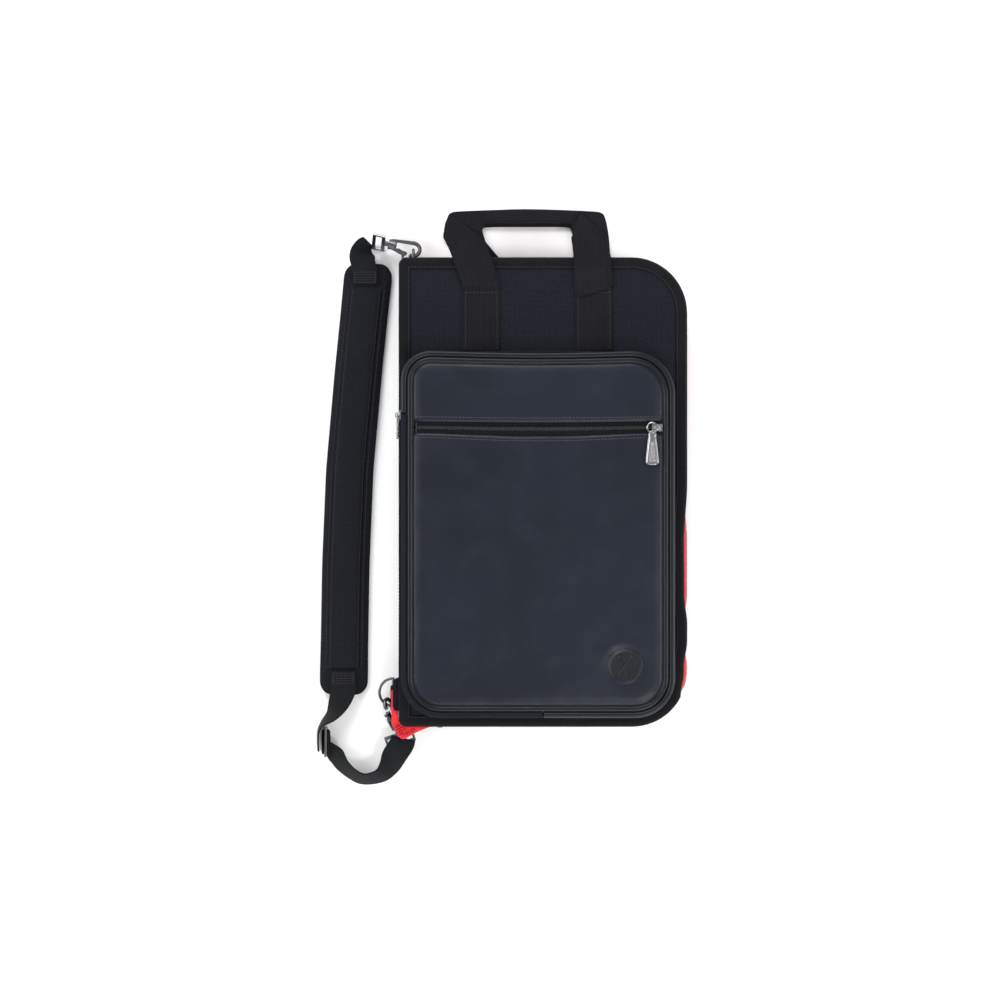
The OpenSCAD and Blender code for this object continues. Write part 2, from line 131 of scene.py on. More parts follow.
class Nodes:
    """Short forms for building one material's nodes."""

    def __init__(self, name):
        self.material = bpy.data.materials.new(name)
        self.material.use_nodes = True
        self.tree = self.material.node_tree
        self.shader = self.tree.nodes["Principled BSDF"]

    def link(self, source, socket):
        if isinstance(source, (int, float, tuple)):
            socket.default_value = source
        else:
            self.tree.links.new(source, socket)

    def set(self, name, source):
        self.link(source, self.shader.inputs[name])

    def add(self, kind, inputs, output=0, **settings):
        """Adds a node, fills its inputs with values or links, and gives one of its outputs."""
        node = self.tree.nodes.new("ShaderNode" + kind)
        for key, value in settings.items():
            setattr(node, key, value)
        for key, value in inputs.items():
            self.link(value, node.inputs[key])
        return node.outputs[output]

    def math(self, operation, a, b=0.0):
        return self.add("Math", {0: a, 1: b}, operation=operation)

    def times(self, a, b):
        return self.math("MULTIPLY", a, b)

    def plus(self, a, b):
        return self.math("ADD", a, b)

    def coordinates(self, on_cad):
        """Metres along the cloth where it has a UV map, or metres in the CAD frame."""
        return self.add("TexCoord", {}, "Object" if on_cad else "UV")

    def split(self, vector):
        return [self.add("SeparateXYZ", {0: vector}, k) for k in (0, 1)]

    def noise(self, vector, size, detail=3.0, roughness=0.55, stretch=(1, 1, 1)):
        """Noise whose lumps are about size metres across."""
        place = self.add("Mapping", {"Scale": stretch, "Vector": vector})
        inputs = {"Scale": 1 / size, "Detail": detail, "Roughness": roughness, "Vector": place}
        return self.add("TexNoise", inputs, "Fac")

    def between(self, value, low, high):
        """Maps 0..1 to low..high."""
        return self.add("MapRange", {"To Min": low, "To Max": high, "Value": value}, "Result")

    def narrow(self, value, low, high):
        """Maps low..high to 0..1, held at both ends."""
        return self.add("MapRange", {"From Min": low, "From Max": high, "Value": value}, "Result")

    def mix(self, share, a, b):
        return self.add("Mix", {0: share, 6: a, 7: b}, 2, data_type="RGBA")

    def bump(self, height, depth, below=None):
        """Bump from a 0..1 height that stands for depth metres."""
        inputs = {"Distance": depth, "Strength": 1.0, "Height": height}
        if below is not None:
            inputs["Normal"] = below
        return self.add("Bump", inputs)

    def weave(self, vector, pitch, twill):
        """Height of threads that cross over and under, as a basket or as a slanting twill."""
        u, v = [self.math("DIVIDE", part, pitch) for part in self.split(vector)]
        cell = self.plus(self.math("FLOOR", u), self.math("FLOOR", v))
        period = 4.0 if twill else 2.0
        over = self.math("LESS_THAN", self.math("FLOORED_MODULO", cell, period), period / 2)
        under = self.math("SUBTRACT", 1.0, over)
        crowns = []
        for value in (u, v):
            off_middle = self.math("ABSOLUTE", self.math("SUBTRACT", self.math("FRACT", value), 0.5))
            drop = self.times(self.math("POWER", off_middle, 2.0), 4.0)
            crowns.append(self.math("SUBTRACT", 1.0, drop))
        threads = []
        for crown, crossing, shown in ((*crowns, over), (*crowns[::-1], under)):
            sunk = self.plus(self.times(crossing, 0.5), 0.5)
            thread = self.times(self.math("POWER", crown, 0.6), sunk)
            threads.append(self.times(thread, shown))
        return self.plus(*threads)


def shade(colour, factor):
    return (*(min(1.0, c * factor) for c in colour), 1)


def cloth(name, colour, pitch, depth, contrast, twill=False, roughness=0.78):
    """Woven cloth: threads in relief, with painted shade between them and a painted highlight on their
    crowns, uneven in tone and dusted by handling.
    pitch and depth of the threads are in millimetres."""
    n = Nodes(name)
    where = n.coordinates(False)
    height = n.weave(where, pitch * MM, twill)
    tone = n.noise(where, 0.045, detail=4)
    fleck = n.noise(where, 0.0025, detail=2)
    # Painted light: the threads' colour runs from a shaded copy in the gaps to a lit copy on the crowns, by
    # contrast either way
    threads = n.mix(n.narrow(height, 0.15, 0.95), shade(colour, 1 - contrast), shade(colour, 1 + contrast))
    patchy = n.mix(n.narrow(tone, 0.35, 0.7), threads, shade(colour, 1.35))
    worn = n.mix(n.times(n.narrow(tone, 0.4, 0.75), 0.35), threads, patchy)
    n.set("Base Color", n.mix(n.times(n.narrow(fleck, 0.5, 0.72), 0.75), worn, shade(colour, 1.9)))
    n.set("Roughness", n.between(n.noise(where, 0.02), roughness - 0.1, roughness + 0.1))
    n.set("Specular IOR Level", 0.05)
    n.set("Sheen Weight", 0.015)
    n.set("Sheen Roughness", 0.45)
    n.set("Normal", n.bump(height, depth * MM, n.bump(fleck, 0.0001)))
    return n.material


def webbing(name, colour, rib):
    """Heavy strap webbing: close ribs across it and chevron lines of thread along it, with painted shade
    between the ribs and a painted highlight on them.
    """
    n = Nodes(name)
    where = n.coordinates(False)
    along, across = n.split(where)
    lane = n.math("PINGPONG", across, 3.2 * MM)
    slant = n.math("DIVIDE", n.plus(along, n.times(lane, 0.6)), rib * MM)
    cord = n.math("DIVIDE", across, 1.6 * MM)
    ribs, cords = [n.math("ABSOLUTE", n.math("SINE", n.times(turn, math.pi))) for turn in (slant, cord)]
    height = n.times(n.math("POWER", ribs, 0.6), n.plus(n.times(cords, 0.4), 0.6))
    tone = n.noise(where, 0.03, detail=4)
    # Painted light: a shaded copy of the colour in the grooves between ribs and a lit copy on their crowns
    threads = n.mix(height, shade(colour, 0.55), shade(colour, 1.45))
    n.set("Base Color", n.mix(n.times(n.narrow(tone, 0.45, 0.75), 0.4), threads, shade(colour, 2.0)))
    n.set("Roughness", n.between(tone, 0.5, 0.74))
    n.set("Specular IOR Level", 0.08)
    n.set("Sheen Weight", 0.02)
    n.set("Normal", n.bump(height, 0.00035))
    return n.material


def leather(name, colour, grain=0.9, depth=0.05, specular=0.3, soft=0.0012):
    """Satin synthetic leather: fine pebble grain over slow unevenness, paler where it is rubbed."""
    n = Nodes(name)
    where = n.coordinates(True)
    pebbles = n.add("TexVoronoi", {"Scale": 1 / (grain * MM), "Vector": where}, "Distance")
    pores = n.noise(where, 0.0004, detail=2)
    slow = n.noise(where, 0.035, detail=2)
    broad = n.noise(where, 0.12, detail=3)
    tone = n.mix(n.narrow(broad, 0.35, 0.7), shade(colour, 0.88), shade(colour, 1.2))
    n.set("Base Color", n.mix(n.times(n.narrow(slow, 0.5, 0.75), 0.35), tone, shade(colour, 1.5)))
    n.set("Roughness", n.between(slow, 0.27, 0.45))
    n.set("Specular IOR Level", specular)
    fine = n.bump(pores, 0.00003, n.bump(slow, soft))
    n.set("Normal", n.bump(pebbles, depth * MM, fine))
    return n.material


def metal(name, colour, roughness, scuff=0.25):
    """Plated metal: brushed unevenly, with dull scuffs and paler edges."""
    n = Nodes(name)
    where = n.coordinates(True)
    fine = n.noise(where, 0.0012, detail=4, stretch=(1, 1, 6))
    marks = n.noise(where, 0.006, detail=5, roughness=0.7)
    edge = n.add("NewGeometry", {}, "Pointiness")
    plate = n.mix(n.narrow(marks, 0.35, 0.75), shade(colour, 0.9), shade(colour, 1.08))
    n.set("Base Color", n.mix(n.times(n.narrow(edge, 0.5, 0.62), scuff * 2), plate, shade(colour, 1.9)))
    n.set("Metallic", 1.0)
    n.set("Roughness", n.between(fine, roughness - 0.1, roughness + scuff))
    n.set("Normal", n.bump(fine, 0.00003))
    return n.material


def moulded(name, colour, roughness):
    """Nylon coil and thread: smooth, slightly glossy, with tone that changes along it."""
    n = Nodes(name)
    where = n.coordinates(True)
    tone = n.noise(where, 0.012, detail=3)
    fine = n.noise(where, 0.0007, detail=2)
    n.set("Base Color", n.mix(n.narrow(tone, 0.3, 0.7), shade(colour, 0.8), shade(colour, 1.2)))
    n.set("Roughness", n.between(fine, roughness - 0.1, roughness + 0.15))
    n.set("Normal", n.bump(fine, 0.00008))
    return n.material


NYLON = cloth("ballistic_nylon", (0.0086, 0.0086, 0.0130), pitch=1.25, depth=0.35, contrast=0.8)
PAD_NYLON = cloth("pad_nylon", (0.0078, 0.0082, 0.0106), pitch=1.1, depth=0.3, contrast=0.7)
PAD_TWILL = cloth("pad_twill", (0.0084, 0.0088, 0.0114), pitch=0.9, twill=True, depth=0.4, contrast=0.95)
BINDING = webbing("binding_tape", (0.0046, 0.0050, 0.0062), rib=0.8)
STRAP = webbing("strap_webbing", (0.0064, 0.0068, 0.0078), rib=1.2)
HANDLE = webbing("handle_webbing", (0.0060, 0.0062, 0.0082), rib=1.2)
LINING = cloth("lining_cloth", (0.075, 0.075, 0.082), pitch=0.6, depth=0.12, contrast=0.25, roughness=0.7)
PIPING = leather("piping_leather", (0.0042, 0.0052, 0.0070), depth=0.03, specular=0.24, soft=0.0004)
LEATHER = leather("panel_leather", (0.0092, 0.0113, 0.0168), specular=0.2)
EMBOSSED = leather("embossed_leather", (0.006, 0.007, 0.010), grain=0.6)
RED_TAPE = cloth("red_tape", (0.75, 0.035, 0.045), pitch=0.7, twill=True, depth=0.15, roughness=0.6,
                 contrast=0.22)
# A darker red than the tape; over the bag's opening edge it also serves as painted shade
RED_COIL = moulded("red_coil", (0.55, 0.016, 0.026), roughness=0.34)
BLACK_TAPE = cloth("black_tape", (0.0075, 0.008, 0.0095), pitch=0.7, twill=True, depth=0.15, contrast=0.3)
BLACK_COIL = moulded("black_coil", (0.0045, 0.005, 0.0065), roughness=0.45)
THREAD = moulded("dark_thread", (0.030, 0.033, 0.042), roughness=0.55)
BLACK_THREAD = moulded("black_thread", (0.009, 0.0095, 0.011), roughness=0.6)
GUNMETAL = metal("gunmetal_plating", (0.13, 0.13, 0.138), 0.26)
SILVER = metal("nickel_plating", (0.37, 0.365, 0.38), 0.24, scuff=0.08)


# ---- places and meshes ----------------------------------------------------------------------

def box(*nodes):
    """Lowest and highest corners round some CAD nodes, in millimetres."""
    lows, highs = zip(*(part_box(node) for node in nodes))
    return np.min(lows, axis=0) / MM, np.max(highs, axis=0) / MM


def levels(node):
    """Lowest and highest place of a CAD node above the floor, in millimetres."""
    low, high = box(node)
    return low[2], high[2]


def corners(piece):
    """A mesh's vertices, in millimetres."""
    return np.array([v.co for v in piece.data.vertices]) / MM


def move_corners(piece, co):
    piece.data.vertices.foreach_set("co", (co * MM).ravel())
    piece.data.update()


def node_span(node, axis, value, across):
    """Lowest and highest place of a CAD node along one axis, where a plane cuts it across another."""
    co = corners(NODES[node])
    pairs = np.array([e.vertices for e in NODES[node].data.edges])
    a, b = co[pairs[:, 0]], co[pairs[:, 1]]
    span = b[:, axis] - a[:, axis]
    cut = ((a[:, axis] - value) * (b[:, axis] - value) <= 0) & (np.abs(span) > 1e-6)
    share = (value - a[cut, axis]) / span[cut]
    places = a[cut, across] + share * (b[cut, across] - a[cut, across])
    return places.min(), places.max()


def xyz(x, y, z):
    """Points from rows or grids of x, y and z, any of which may be a single number."""
    return np.stack(np.broadcast_arrays(x, y, z), axis=-1).astype(float)


def at_height(path, z):
    """Points at one height, or at a row of heights, over a path in the plane."""
    return xyz(path[:, 0], path[:, 1], z)


def unit(vectors):
    return vectors / np.linalg.norm(vectors, axis=-1, keepdims=True)


def ease(t):
    t = np.clip(t, 0, 1)
    return t * t * (3 - 2 * t)


def hump(x, width):
    return np.exp(-(x / width) ** 2)


def wander(x, y, size, seed):
    """Smooth noise from -1 to 1 with lumps about size across, the same every run."""
    flat = zip(np.ravel(x), np.ravel(y))
    values = [noise.noise(Vector((a / size, b / size, seed))) for a, b in flat]
    return np.array(values).reshape(np.shape(x))


def distances(points):
    """Distance travelled along a row of points, starting at 0."""
    steps = np.linalg.norm(np.diff(points, axis=0), axis=1)
    return np.concatenate([[0.0], np.cumsum(steps)])


def mesh_piece(name, points, faces, uvs=None):
    mesh = bpy.data.meshes.new(name)
    mesh.from_pydata((np.asarray(points) * MM).tolist(), [], [list(f) for f in faces])
    if uvs is not None:
        layer = mesh.uv_layers.new(name="UVMap")
        layer.data.foreach_set("uv", (np.asarray(uvs) * MM).ravel())
    mesh.update()
    edit = bmesh.new()
    edit.from_mesh(mesh)
    bmesh.ops.recalc_face_normals(edit, faces=edit.faces)
    edit.to_mesh(mesh)
    edit.free()
    return add_object(name, mesh)


def grid_faces(n, m, close_u, close_v):
    """Rows and columns of a grid's faces, and the faces' corners."""
    rows = np.arange(n if close_u else n - 1)
    i, j = np.meshgrid(rows, np.arange(m if close_v else m - 1), indexing="ij")
    i, j = i.ravel(), j.ravel()
    i1, j1 = (i + 1) % n, (j + 1) % m
    return i, j, np.stack([i * m + j, i1 * m + j, i1 * m + j1, i * m + j1], axis=1)


def grid_piece(name, points, close_u=False, close_v=False, caps=False, planar=False):
    """Skin over a grid of points [u][v][xyz], with a UV map in millimetres of cloth."""
    points = np.asarray(points, float)
    n, m = points.shape[:2]
    i, j, faces = grid_faces(n, m, close_u, close_v)
    flat = points.reshape(-1, 3)
    if planar:
        uvs = flat[faces.ravel()][:, :2]
    else:
        along = np.concatenate([points, points[:1]]) if close_u else points
        across = np.concatenate([points, points[:, :1]], axis=1) if close_v else points
        us = distances(along.mean(axis=1))
        vs = distances(across[n // 2])
        uvs = np.stack([us[i], vs[j], us[i + 1], vs[j], us[i + 1], vs[j + 1], us[i], vs[j + 1]], axis=1)
        uvs = uvs.reshape(-1, 2)
    faces = faces.tolist()
    if caps:
        ends = [list(range(m))[::-1], list(range((n - 1) * m, n * m))]
        faces += ends
        uvs = np.concatenate([uvs] + [flat[end][:, :2] for end in ends])
    return mesh_piece(name, flat, faces, uvs)


def tube(name, sections):
    """Closed piece through rings of points, capped at both ends."""
    return grid_piece(name, sections, close_v=True, caps=True)


def modifier(piece, kind, **settings):
    made = piece.modifiers.new(kind.lower(), kind)
    for key, value in settings.items():
        setattr(made, key, value)
    return made


def apply_modifiers(piece):
    graph = bpy.context.evaluated_depsgraph_get()
    graph.update()
    fresh = bpy.data.meshes.new_from_object(piece.evaluated_get(graph))
    piece.modifiers.clear()
    piece.data = fresh


def join(name, pieces):
    """One object from those that are alike, named after what they are together."""
    with bpy.context.temp_override(active_object=pieces[0], selected_editable_objects=pieces):
        if len(pieces) > 1:
            bpy.ops.object.join()
    pieces[0].name = name
    return pieces[0]


def slump(piece):
    """The filled pocket's sag, the same for every piece on its front: its top dips and its mouth gapes."""
    co = corners(piece)
    middle = (pocket_low[0] + pocket_high[0]) / 2
    half = (pocket_high[0] - pocket_low[0]) / 2
    on_front = ease((co[:, 2] - gusset_top) / 5) * (co[:, 1] < pocket_high[1] + 0.5)
    across = np.clip(1 - ((co[:, 0] - middle) / (half * 0.82)) ** 2, 0, 1) ** 1.5
    above = co[:, 1] - slash_y
    top = 2.2 * ease((above - 20) / 60)
    mouth = 1.2 * hump(above - 8, 12)
    below = 3.4 * hump(above + 9, 14) * (above < 0)
    blend = ease((1 - above) / 5)
    co[:, 1] -= on_front * across * (top + mouth * (1 - blend) + below * blend)
    move_corners(piece, co)


def dress(piece, material, body, replaces=(), fold=None):
    """Gives a finished mesh its material, its body and the CAD nodes it stands for; a piece given a fold gets
    no body, only its place baked in.
    """
    if body == "pocket_lid" or (fold and "pocket_lid" in fold):
        slump(piece)
    piece.data.materials.clear()
    piece.data.materials.append(material)
    piece.data.polygons.foreach_set("use_smooth", [True] * len(piece.data.polygons))
    if fold is None:
        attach(piece, body)
    else:
        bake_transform(piece)
    if replaces:
        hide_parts(*replaces)
    return piece


# Points in each round corner of a ring, and the usual distance between those on its sides
ARC = 16
STEP = 5.0


def ring(bounds, radii, inset=0.0, step=STEP):
    """Points round a rectangle with round corners, anticlockwise from the bottom side's start.
    Rings of one rectangle have as many points at any inset, so that they can be joined."""
    x0, y0, x1, y1 = bounds
    corner = [max(r - inset, 0.5) for r in radii]
    counts = [max(2, int((x1 - x0) / step)), max(2, int((y1 - y0) / step))]
    x0, y0, x1, y1 = x0 + inset, y0 + inset, x1 - inset, y1 - inset
    centres = [(x0 + corner[0], y0 + corner[0]), (x1 - corner[1], y0 + corner[1]),
               (x1 - corner[2], y1 - corner[2]), (x0 + corner[3], y1 - corner[3])]
    starts = [(centres[0][0], y0), (x1, centres[1][1]), (centres[2][0], y1), (x0, centres[3][1])]
    ends = [(centres[1][0], y0), (x1, centres[2][1]), (centres[3][0], y1), (x0, centres[0][1])]
    points = []
    for side in range(4):
        t = np.arange(counts[side % 2])[:, None] / counts[side % 2]
        points.append(np.array(starts[side]) * (1 - t) + np.array(ends[side]) * t)
        k = (side + 1) % 4
        angle = np.radians(90 * side - 90 + np.arange(ARC) * 90 / ARC)
        points.append(np.array(centres[k]) + corner[k] * np.stack([np.cos(angle), np.sin(angle)], axis=1))
    return np.concatenate(points)


def zipped_part(bounds):
    """Indices of a ring's points along the bottom, the opening edge and the top: all but the spine."""
    nx = max(2, int((bounds[2] - bounds[0]) / STEP))
    ny = max(2, int((bounds[3] - bounds[1]) / STEP))
    return slice(0, 2 * nx + ny + 2 * ARC + 1)


def hoop(name, outline, profile, part=None, shape=None, step=STEP):
    """Closed profile of (inset, height) carried round an outline, or along a part of it."""
    points = np.stack([at_height(ring(*outline, inset=inset, step=step), z) for inset, z in profile], axis=1)
    if part is not None:
        points = points[part]
    if shape is not None:
        points = shape(points)
    return grid_piece(name, points, close_u=part is None, close_v=True, caps=part is not None)


def wall(name, outline, profile, material, body, slot, nodes=(), fold=None, **way):
    """A hoop with its material, which may stand for some CAD nodes."""
    return dress(hoop(name, outline, profile, **way), material, body, nodes, fold)


def round_profile(inset, z, half_w, half_h, power=2.3, count=14):
    """Profile like a flattened circle; a higher power is squarer."""
    angle = np.arange(count) * 2 * math.pi / count
    return [(inset + half_w * math.copysign(abs(a) ** (2 / power), a),
             z + half_h * math.copysign(abs(b) ** (2 / power), b))
            for a, b in zip(np.cos(angle), np.sin(angle))]


def flat_profile(inset0, inset1, z0, z1, bulge=0.0):
    """Profile of a fabric wall that bows outwards between its two seams."""
    steps = np.linspace(0, 1, 7)
    outer = [(inset0 - bulge * math.sin(math.pi * t), z0 + (z1 - z0) * t) for t in steps]
    inner = [(inset1 - bulge * math.sin(math.pi * t), z0 + (z1 - z0) * t) for t in steps[::-1]]
    return outer + inner


def thread_piece(name, centres, along, up, length, width, height):
    """Many short rounded lumps, such as stitches or the turns of a zipper's coil, as one mesh."""
    centres, along, up = (np.asarray(v, float) for v in (centres, along, up))
    along = unit(along)
    side = unit(np.cross(up, along))
    rise = np.cross(along, side)
    reach = np.array([-0.5, -0.38, 0.0, 0.38, 0.5]) * length
    thick = np.array([0.25, 0.8, 1.0, 0.8, 0.25])
    turn = np.arange(6) * math.pi / 3
    a = np.repeat(reach, 6)
    b = np.outer(thick, np.cos(turn)).ravel() * width / 2
    c = np.outer(thick, np.sin(turn)).ravel() * height / 2
    points = (centres[:, None, :] + a[None, :, None] * along[:, None, :]
              + b[None, :, None] * side[:, None, :] + c[None, :, None] * rise[:, None, :])
    _, _, faces = grid_faces(5, 6, False, True)
    lump = faces.tolist() + [list(range(6))[::-1], list(range(24, 30))]
    every = [[v + 30 * k for v in face] for k in range(len(centres)) for face in lump]
    return mesh_piece(name, points.reshape(-1, 3), every)


def walk(path, pitch, margin=0.0):
    """Evenly spaced points along a path and the path's direction at each."""
    path = np.asarray(path, float)
    travelled = distances(path)
    count = max(1, int((travelled[-1] - 2 * margin) / pitch))
    stops = margin + (np.arange(count) + 0.5) * (travelled[-1] - 2 * margin) / count

    def at(place):
        return xyz(*(np.interp(place, travelled, column) for column in path.T))

    return at(stops), at(stops + 0.5) - at(stops - 0.5)


def stitch_row(path, up=(0, 0, 1), pitch=3.4, length=2.6, width=0.7, height=0.5):
    points, ahead = walk(path, pitch)
    normals = np.broadcast_to(np.array(up, float), points.shape)
    return thread_piece("stitches", points, ahead, normals, length, width, height)


def sew(name, rows, body, slot, thread=BLACK_THREAD, fold=None, **sizes):
    """Rows of stitches as one piece."""
    seams = join(name, [stitch_row(row, **sizes) for row in rows])
    dress(seams, thread, body, fold=fold)


def coil(name, path, pitch, shift, margin, size, material, body, replaces=(), lying=False):
    """A zipper's coil along a path: turns that stand in the path's wall, or lie across it.
    shift is a part of the pitch, and size is a turn's length, width and height."""
    points, ahead = walk(path, pitch, margin)
    points = points + ahead * shift * pitch / np.linalg.norm(ahead, axis=1, keepdims=True)
    upright = np.broadcast_to([0.0, 0.0, 1.0], points.shape)
    out = np.cross(ahead, upright)
    turns = (-out, upright) if lying else (upright, out)
    dress(thread_piece(name, points, *turns, *size), material, body, replaces)


def sheet(name, points, thickness, material, body, replaces=()):
    """Thin cloth over a grid of points, as thick below the grid as above it."""
    made = grid_piece(name, points)
    modifier(made, "SOLIDIFY", thickness=thickness * MM, offset=0)
    return dress(made, material, body, replaces)


def smooth_path(stations, per_span=8):
    """Catmull-Rom curve through rows of numbers, ends included."""
    s = np.asarray(stations, float)
    s = np.concatenate([2 * s[:1] - s[1:2], s, 2 * s[-1:] - s[-2:-1]])
    rows = []
    for k in range(1, len(s) - 2):
        for t in np.arange(per_span) / per_span:
            rows.append(0.5 * (2 * s[k] + (s[k + 1] - s[k - 1]) * t
                               + (2 * s[k - 1] - 5 * s[k] + 4 * s[k + 1] - s[k + 2]) * t ** 2
                               + (3 * s[k] - s[k - 1] - 3 * s[k + 1] + s[k + 2]) * t ** 3))
    rows.append(s[-2])
    return np.array(rows)


def strap_sections(stations, thickness):
    """Sections of webbing along stations [x, y, z, tilt of its width above level, width]."""
    rows = smooth_path(stations)
    heading = unit(np.gradient(rows[:, :2], axis=0))
    tilt = np.radians(rows[:, 3])
    side = xyz(-heading[:, 1] * np.cos(tilt), heading[:, 0] * np.cos(tilt), np.sin(tilt))
    face = np.cross(at_height(heading, 0), side)
    half = thickness / 2
    turn = np.radians(np.linspace(-90, 90, 5))
    outline = [(1, half * math.cos(a), half * math.sin(a)) for a in turn]
    outline += [(-1, -half * math.cos(a), half * math.sin(a)) for a in turn[::-1]]
    sections = []
    for k, row in enumerate(rows):
        flat = row[4] / 2 - half
        sections.append([row[:3] + side[k] * (end * flat + out) + face[k] * rise
                         for end, out, rise in outline])
    return np.array(sections)


def band_sections(rows, per_span=6):
    """Sections of flat webbing between pairs of edge points [x1, y1, x2, y2, z, thickness]."""
    rows = smooth_path(rows, per_span)
    turn = np.radians(np.linspace(-90, 90, 4))
    sections = []
    for x1, y1, x2, y2, z, thickness in rows:
        a, b = np.array([x1, y1, z]), np.array([x2, y2, z])
        half = thickness / 2
        across = (b - a) / np.linalg.norm(b - a)
        outline = [b + across * (half * math.cos(t) - half) + np.array([0, 0, half * math.sin(t)])
                   for t in turn]
        outline += [(a + b) / 2 + np.array([0, 0, half * 1.06])]
        outline += [a - across * (half * math.cos(t) - half) + np.array([0, 0, half * math.sin(t)])
                    for t in turn[::-1]]
        outline += [(a + b) / 2 - np.array([0, 0, half * 1.06])]
        sections.append(outline)
    return np.array(sections)


def sheet_grid(outline, inset, step):
    """Grid of places over a round-cornered rectangle, and each place's distance from its edge."""
    (x0, y0, x1, y1), radii = outline
    x0, y0, x1, y1 = x0 + inset, y0 + inset, x1 - inset, y1 - inset
    xs = np.linspace(x0, x1, max(3, int((x1 - x0) / step)))
    ys = np.linspace(y0, y1, max(3, int((y1 - y0) / step)))
    x, y = np.meshgrid(xs, ys, indexing="ij")
    edge = np.minimum(np.minimum(x - x0, x1 - x), np.minimum(y - y0, y1 - y))
    signs = [(-1, -1), (1, -1), (1, 1), (-1, 1)]
    for (sx, sy), radius in zip(signs, radii):
        r = max(radius - inset, 1.0)
        cx = x0 + r if sx < 0 else x1 - r
        cy = y0 + r if sy < 0 else y1 - r
        s, t = (x - cx) * sx / r, (y - cy) * sy / r
        inside = (s > 0) & (t > 0)
        s, t = np.where(inside, s, 1.0), np.where(inside, t, 1.0)
        reach = np.maximum(s, t)
        angle = np.where(s >= t, t / s * math.pi / 4, math.pi / 2 - s / t * math.pi / 4)
        x = np.where(inside, cx + sx * r * reach * np.cos(angle), x)
        y = np.where(inside, cy + sy * r * reach * np.sin(angle), y)
        edge = np.where(inside, r * (1 - reach), edge)
    return x, y, edge


def pillow(name, outline, inset, top, bottom, step):
    """Closed padded sheet. top and bottom give heights from place and distance from the edge."""
    x, y, edge = sheet_grid(outline, inset, step)
    n, m = x.shape
    upper, lower = [xyz(x, y, face(x, y, edge)).reshape(-1, 3) for face in (top, bottom)]
    _, _, faces = grid_faces(n, m, False, False)
    rim = [i * m for i in range(n)] + [(n - 1) * m + j for j in range(1, m)]
    rim += [i * m + m - 1 for i in range(n - 2, -1, -1)] + list(range(m - 2, 0, -1))
    rim = np.array(rim)
    after = np.roll(rim, -1)
    walls = np.stack([rim, rim + n * m, after + n * m, after], axis=1)
    travelled = distances(np.concatenate([upper[rim], upper[rim[:1]]]))
    wall_uv = np.stack([travelled[:-1], upper[rim, 2], travelled[:-1], lower[rim, 2],
                        travelled[1:], lower[after, 2], travelled[1:], upper[after, 2]], axis=1)
    uvs = np.concatenate([upper[faces.ravel()][:, :2], lower[faces[:, ::-1].ravel()][:, :2],
                          wall_uv.reshape(-1, 2)])
    every = np.concatenate([faces, faces[:, ::-1] + n * m, walls]).tolist()
    return mesh_piece(name, np.concatenate([upper, lower]), every, uvs)


# ---- the bag's two halves -------------------------------------------------------------------

body_low, body_high = box("back_binding", "front_binding")
# An outline is a rectangle and the radii of its corners, anticlockwise from the lower left
BODY = ((*body_low[:2], *body_high[:2]), (8, 56, 56, 8))
OPEN_SIDES = zipped_part(BODY[0])
back_top = levels("back_panel")[1]
front_low, front_top = levels("front_panel")
binding_w = 12
panel_inset = 10.6
lining_inset = 8.0

# The red zipper looks out from above the lower round corner to a little past the edge's middle
red_from = body_low[1] + 28
red_dip = body_low[1] + 94
red_to = (body_low[1] + body_high[1]) / 2 + 10


def zipper_shows(y):
    """How far the halves part at the opening edge, 0 to 1: a short wide gap and a long narrow one."""
    lower_gap = ease((y - red_from) / 12) * ease((red_dip - 8 - y) / 26)
    upper_gap = ease((y - red_dip - 8) / 30) * ease((red_to - y) / 60)
    return lower_gap + upper_gap


def slanted(z0, depth0, z1, depth1):
    """Pulls an outline's opening edge in where the zipper shows, by depths at two heights."""
    reach, fade = 85, 60

    def shape(points):
        share = np.clip((points[..., 2] - z0) / (z1 - z0), 0, 1)
        depth = depth0 + (depth1 - depth0) * share
        at_edge = ease((points[..., 0] - body_high[0] + reach) / fade)
        moved = points.copy()
        moved[..., 0] -= depth * zipper_shows(points[..., 1]) * at_edge
        return moved
    return shape


def draw_back(depth):
    """Pulls the opening edge in by one depth, or out if it is negative."""
    return slanted(0, depth, 1, depth)


def uneven(depth_in, lift, size, seed):
    """Draws an edge back and gives it the slight waviness of sewn tape."""
    def shape(points):
        moved = draw_back(depth_in)(points)
        moved[..., 2] += lift * wander(moved[..., 0], moved[..., 1], size, seed)
        moved[..., 0] += 0.4 * wander(moved[..., 0], moved[..., 1], size * 1.6, seed + 3)
        return moved
    return shape


def make_binding(side, z0, z1, body, shape):
    profile = [(binding_w, z1 - 0.5), (10.6, z1 + 0.5), (8, z1 + 0.7), (4.5, z1 + 0.5), (2, z1 - 0.3),
               (0.5, z1 - 1.8), (0, (z0 + z1) / 2), (0.5, z0 + 1.8), (2, z0 + 0.5), (5, z0 + 0.15),
               (9, z0 + 0.1), (binding_w, z0 + 0.6)]
    wall(f"{side}_edge_binding", BODY, profile, BINDING, body, "binding", [f"{side}_binding"],
         shape=shape, step=4)
    path = ring(*BODY, inset=10.2, step=4)
    path = shape(at_height(np.concatenate([path, path[:1]]), z1 + 0.6))
    sew(f"{side}_edge_binding_stitches", [path], body, "binding", pitch=3.3, length=2.5, height=0.45)


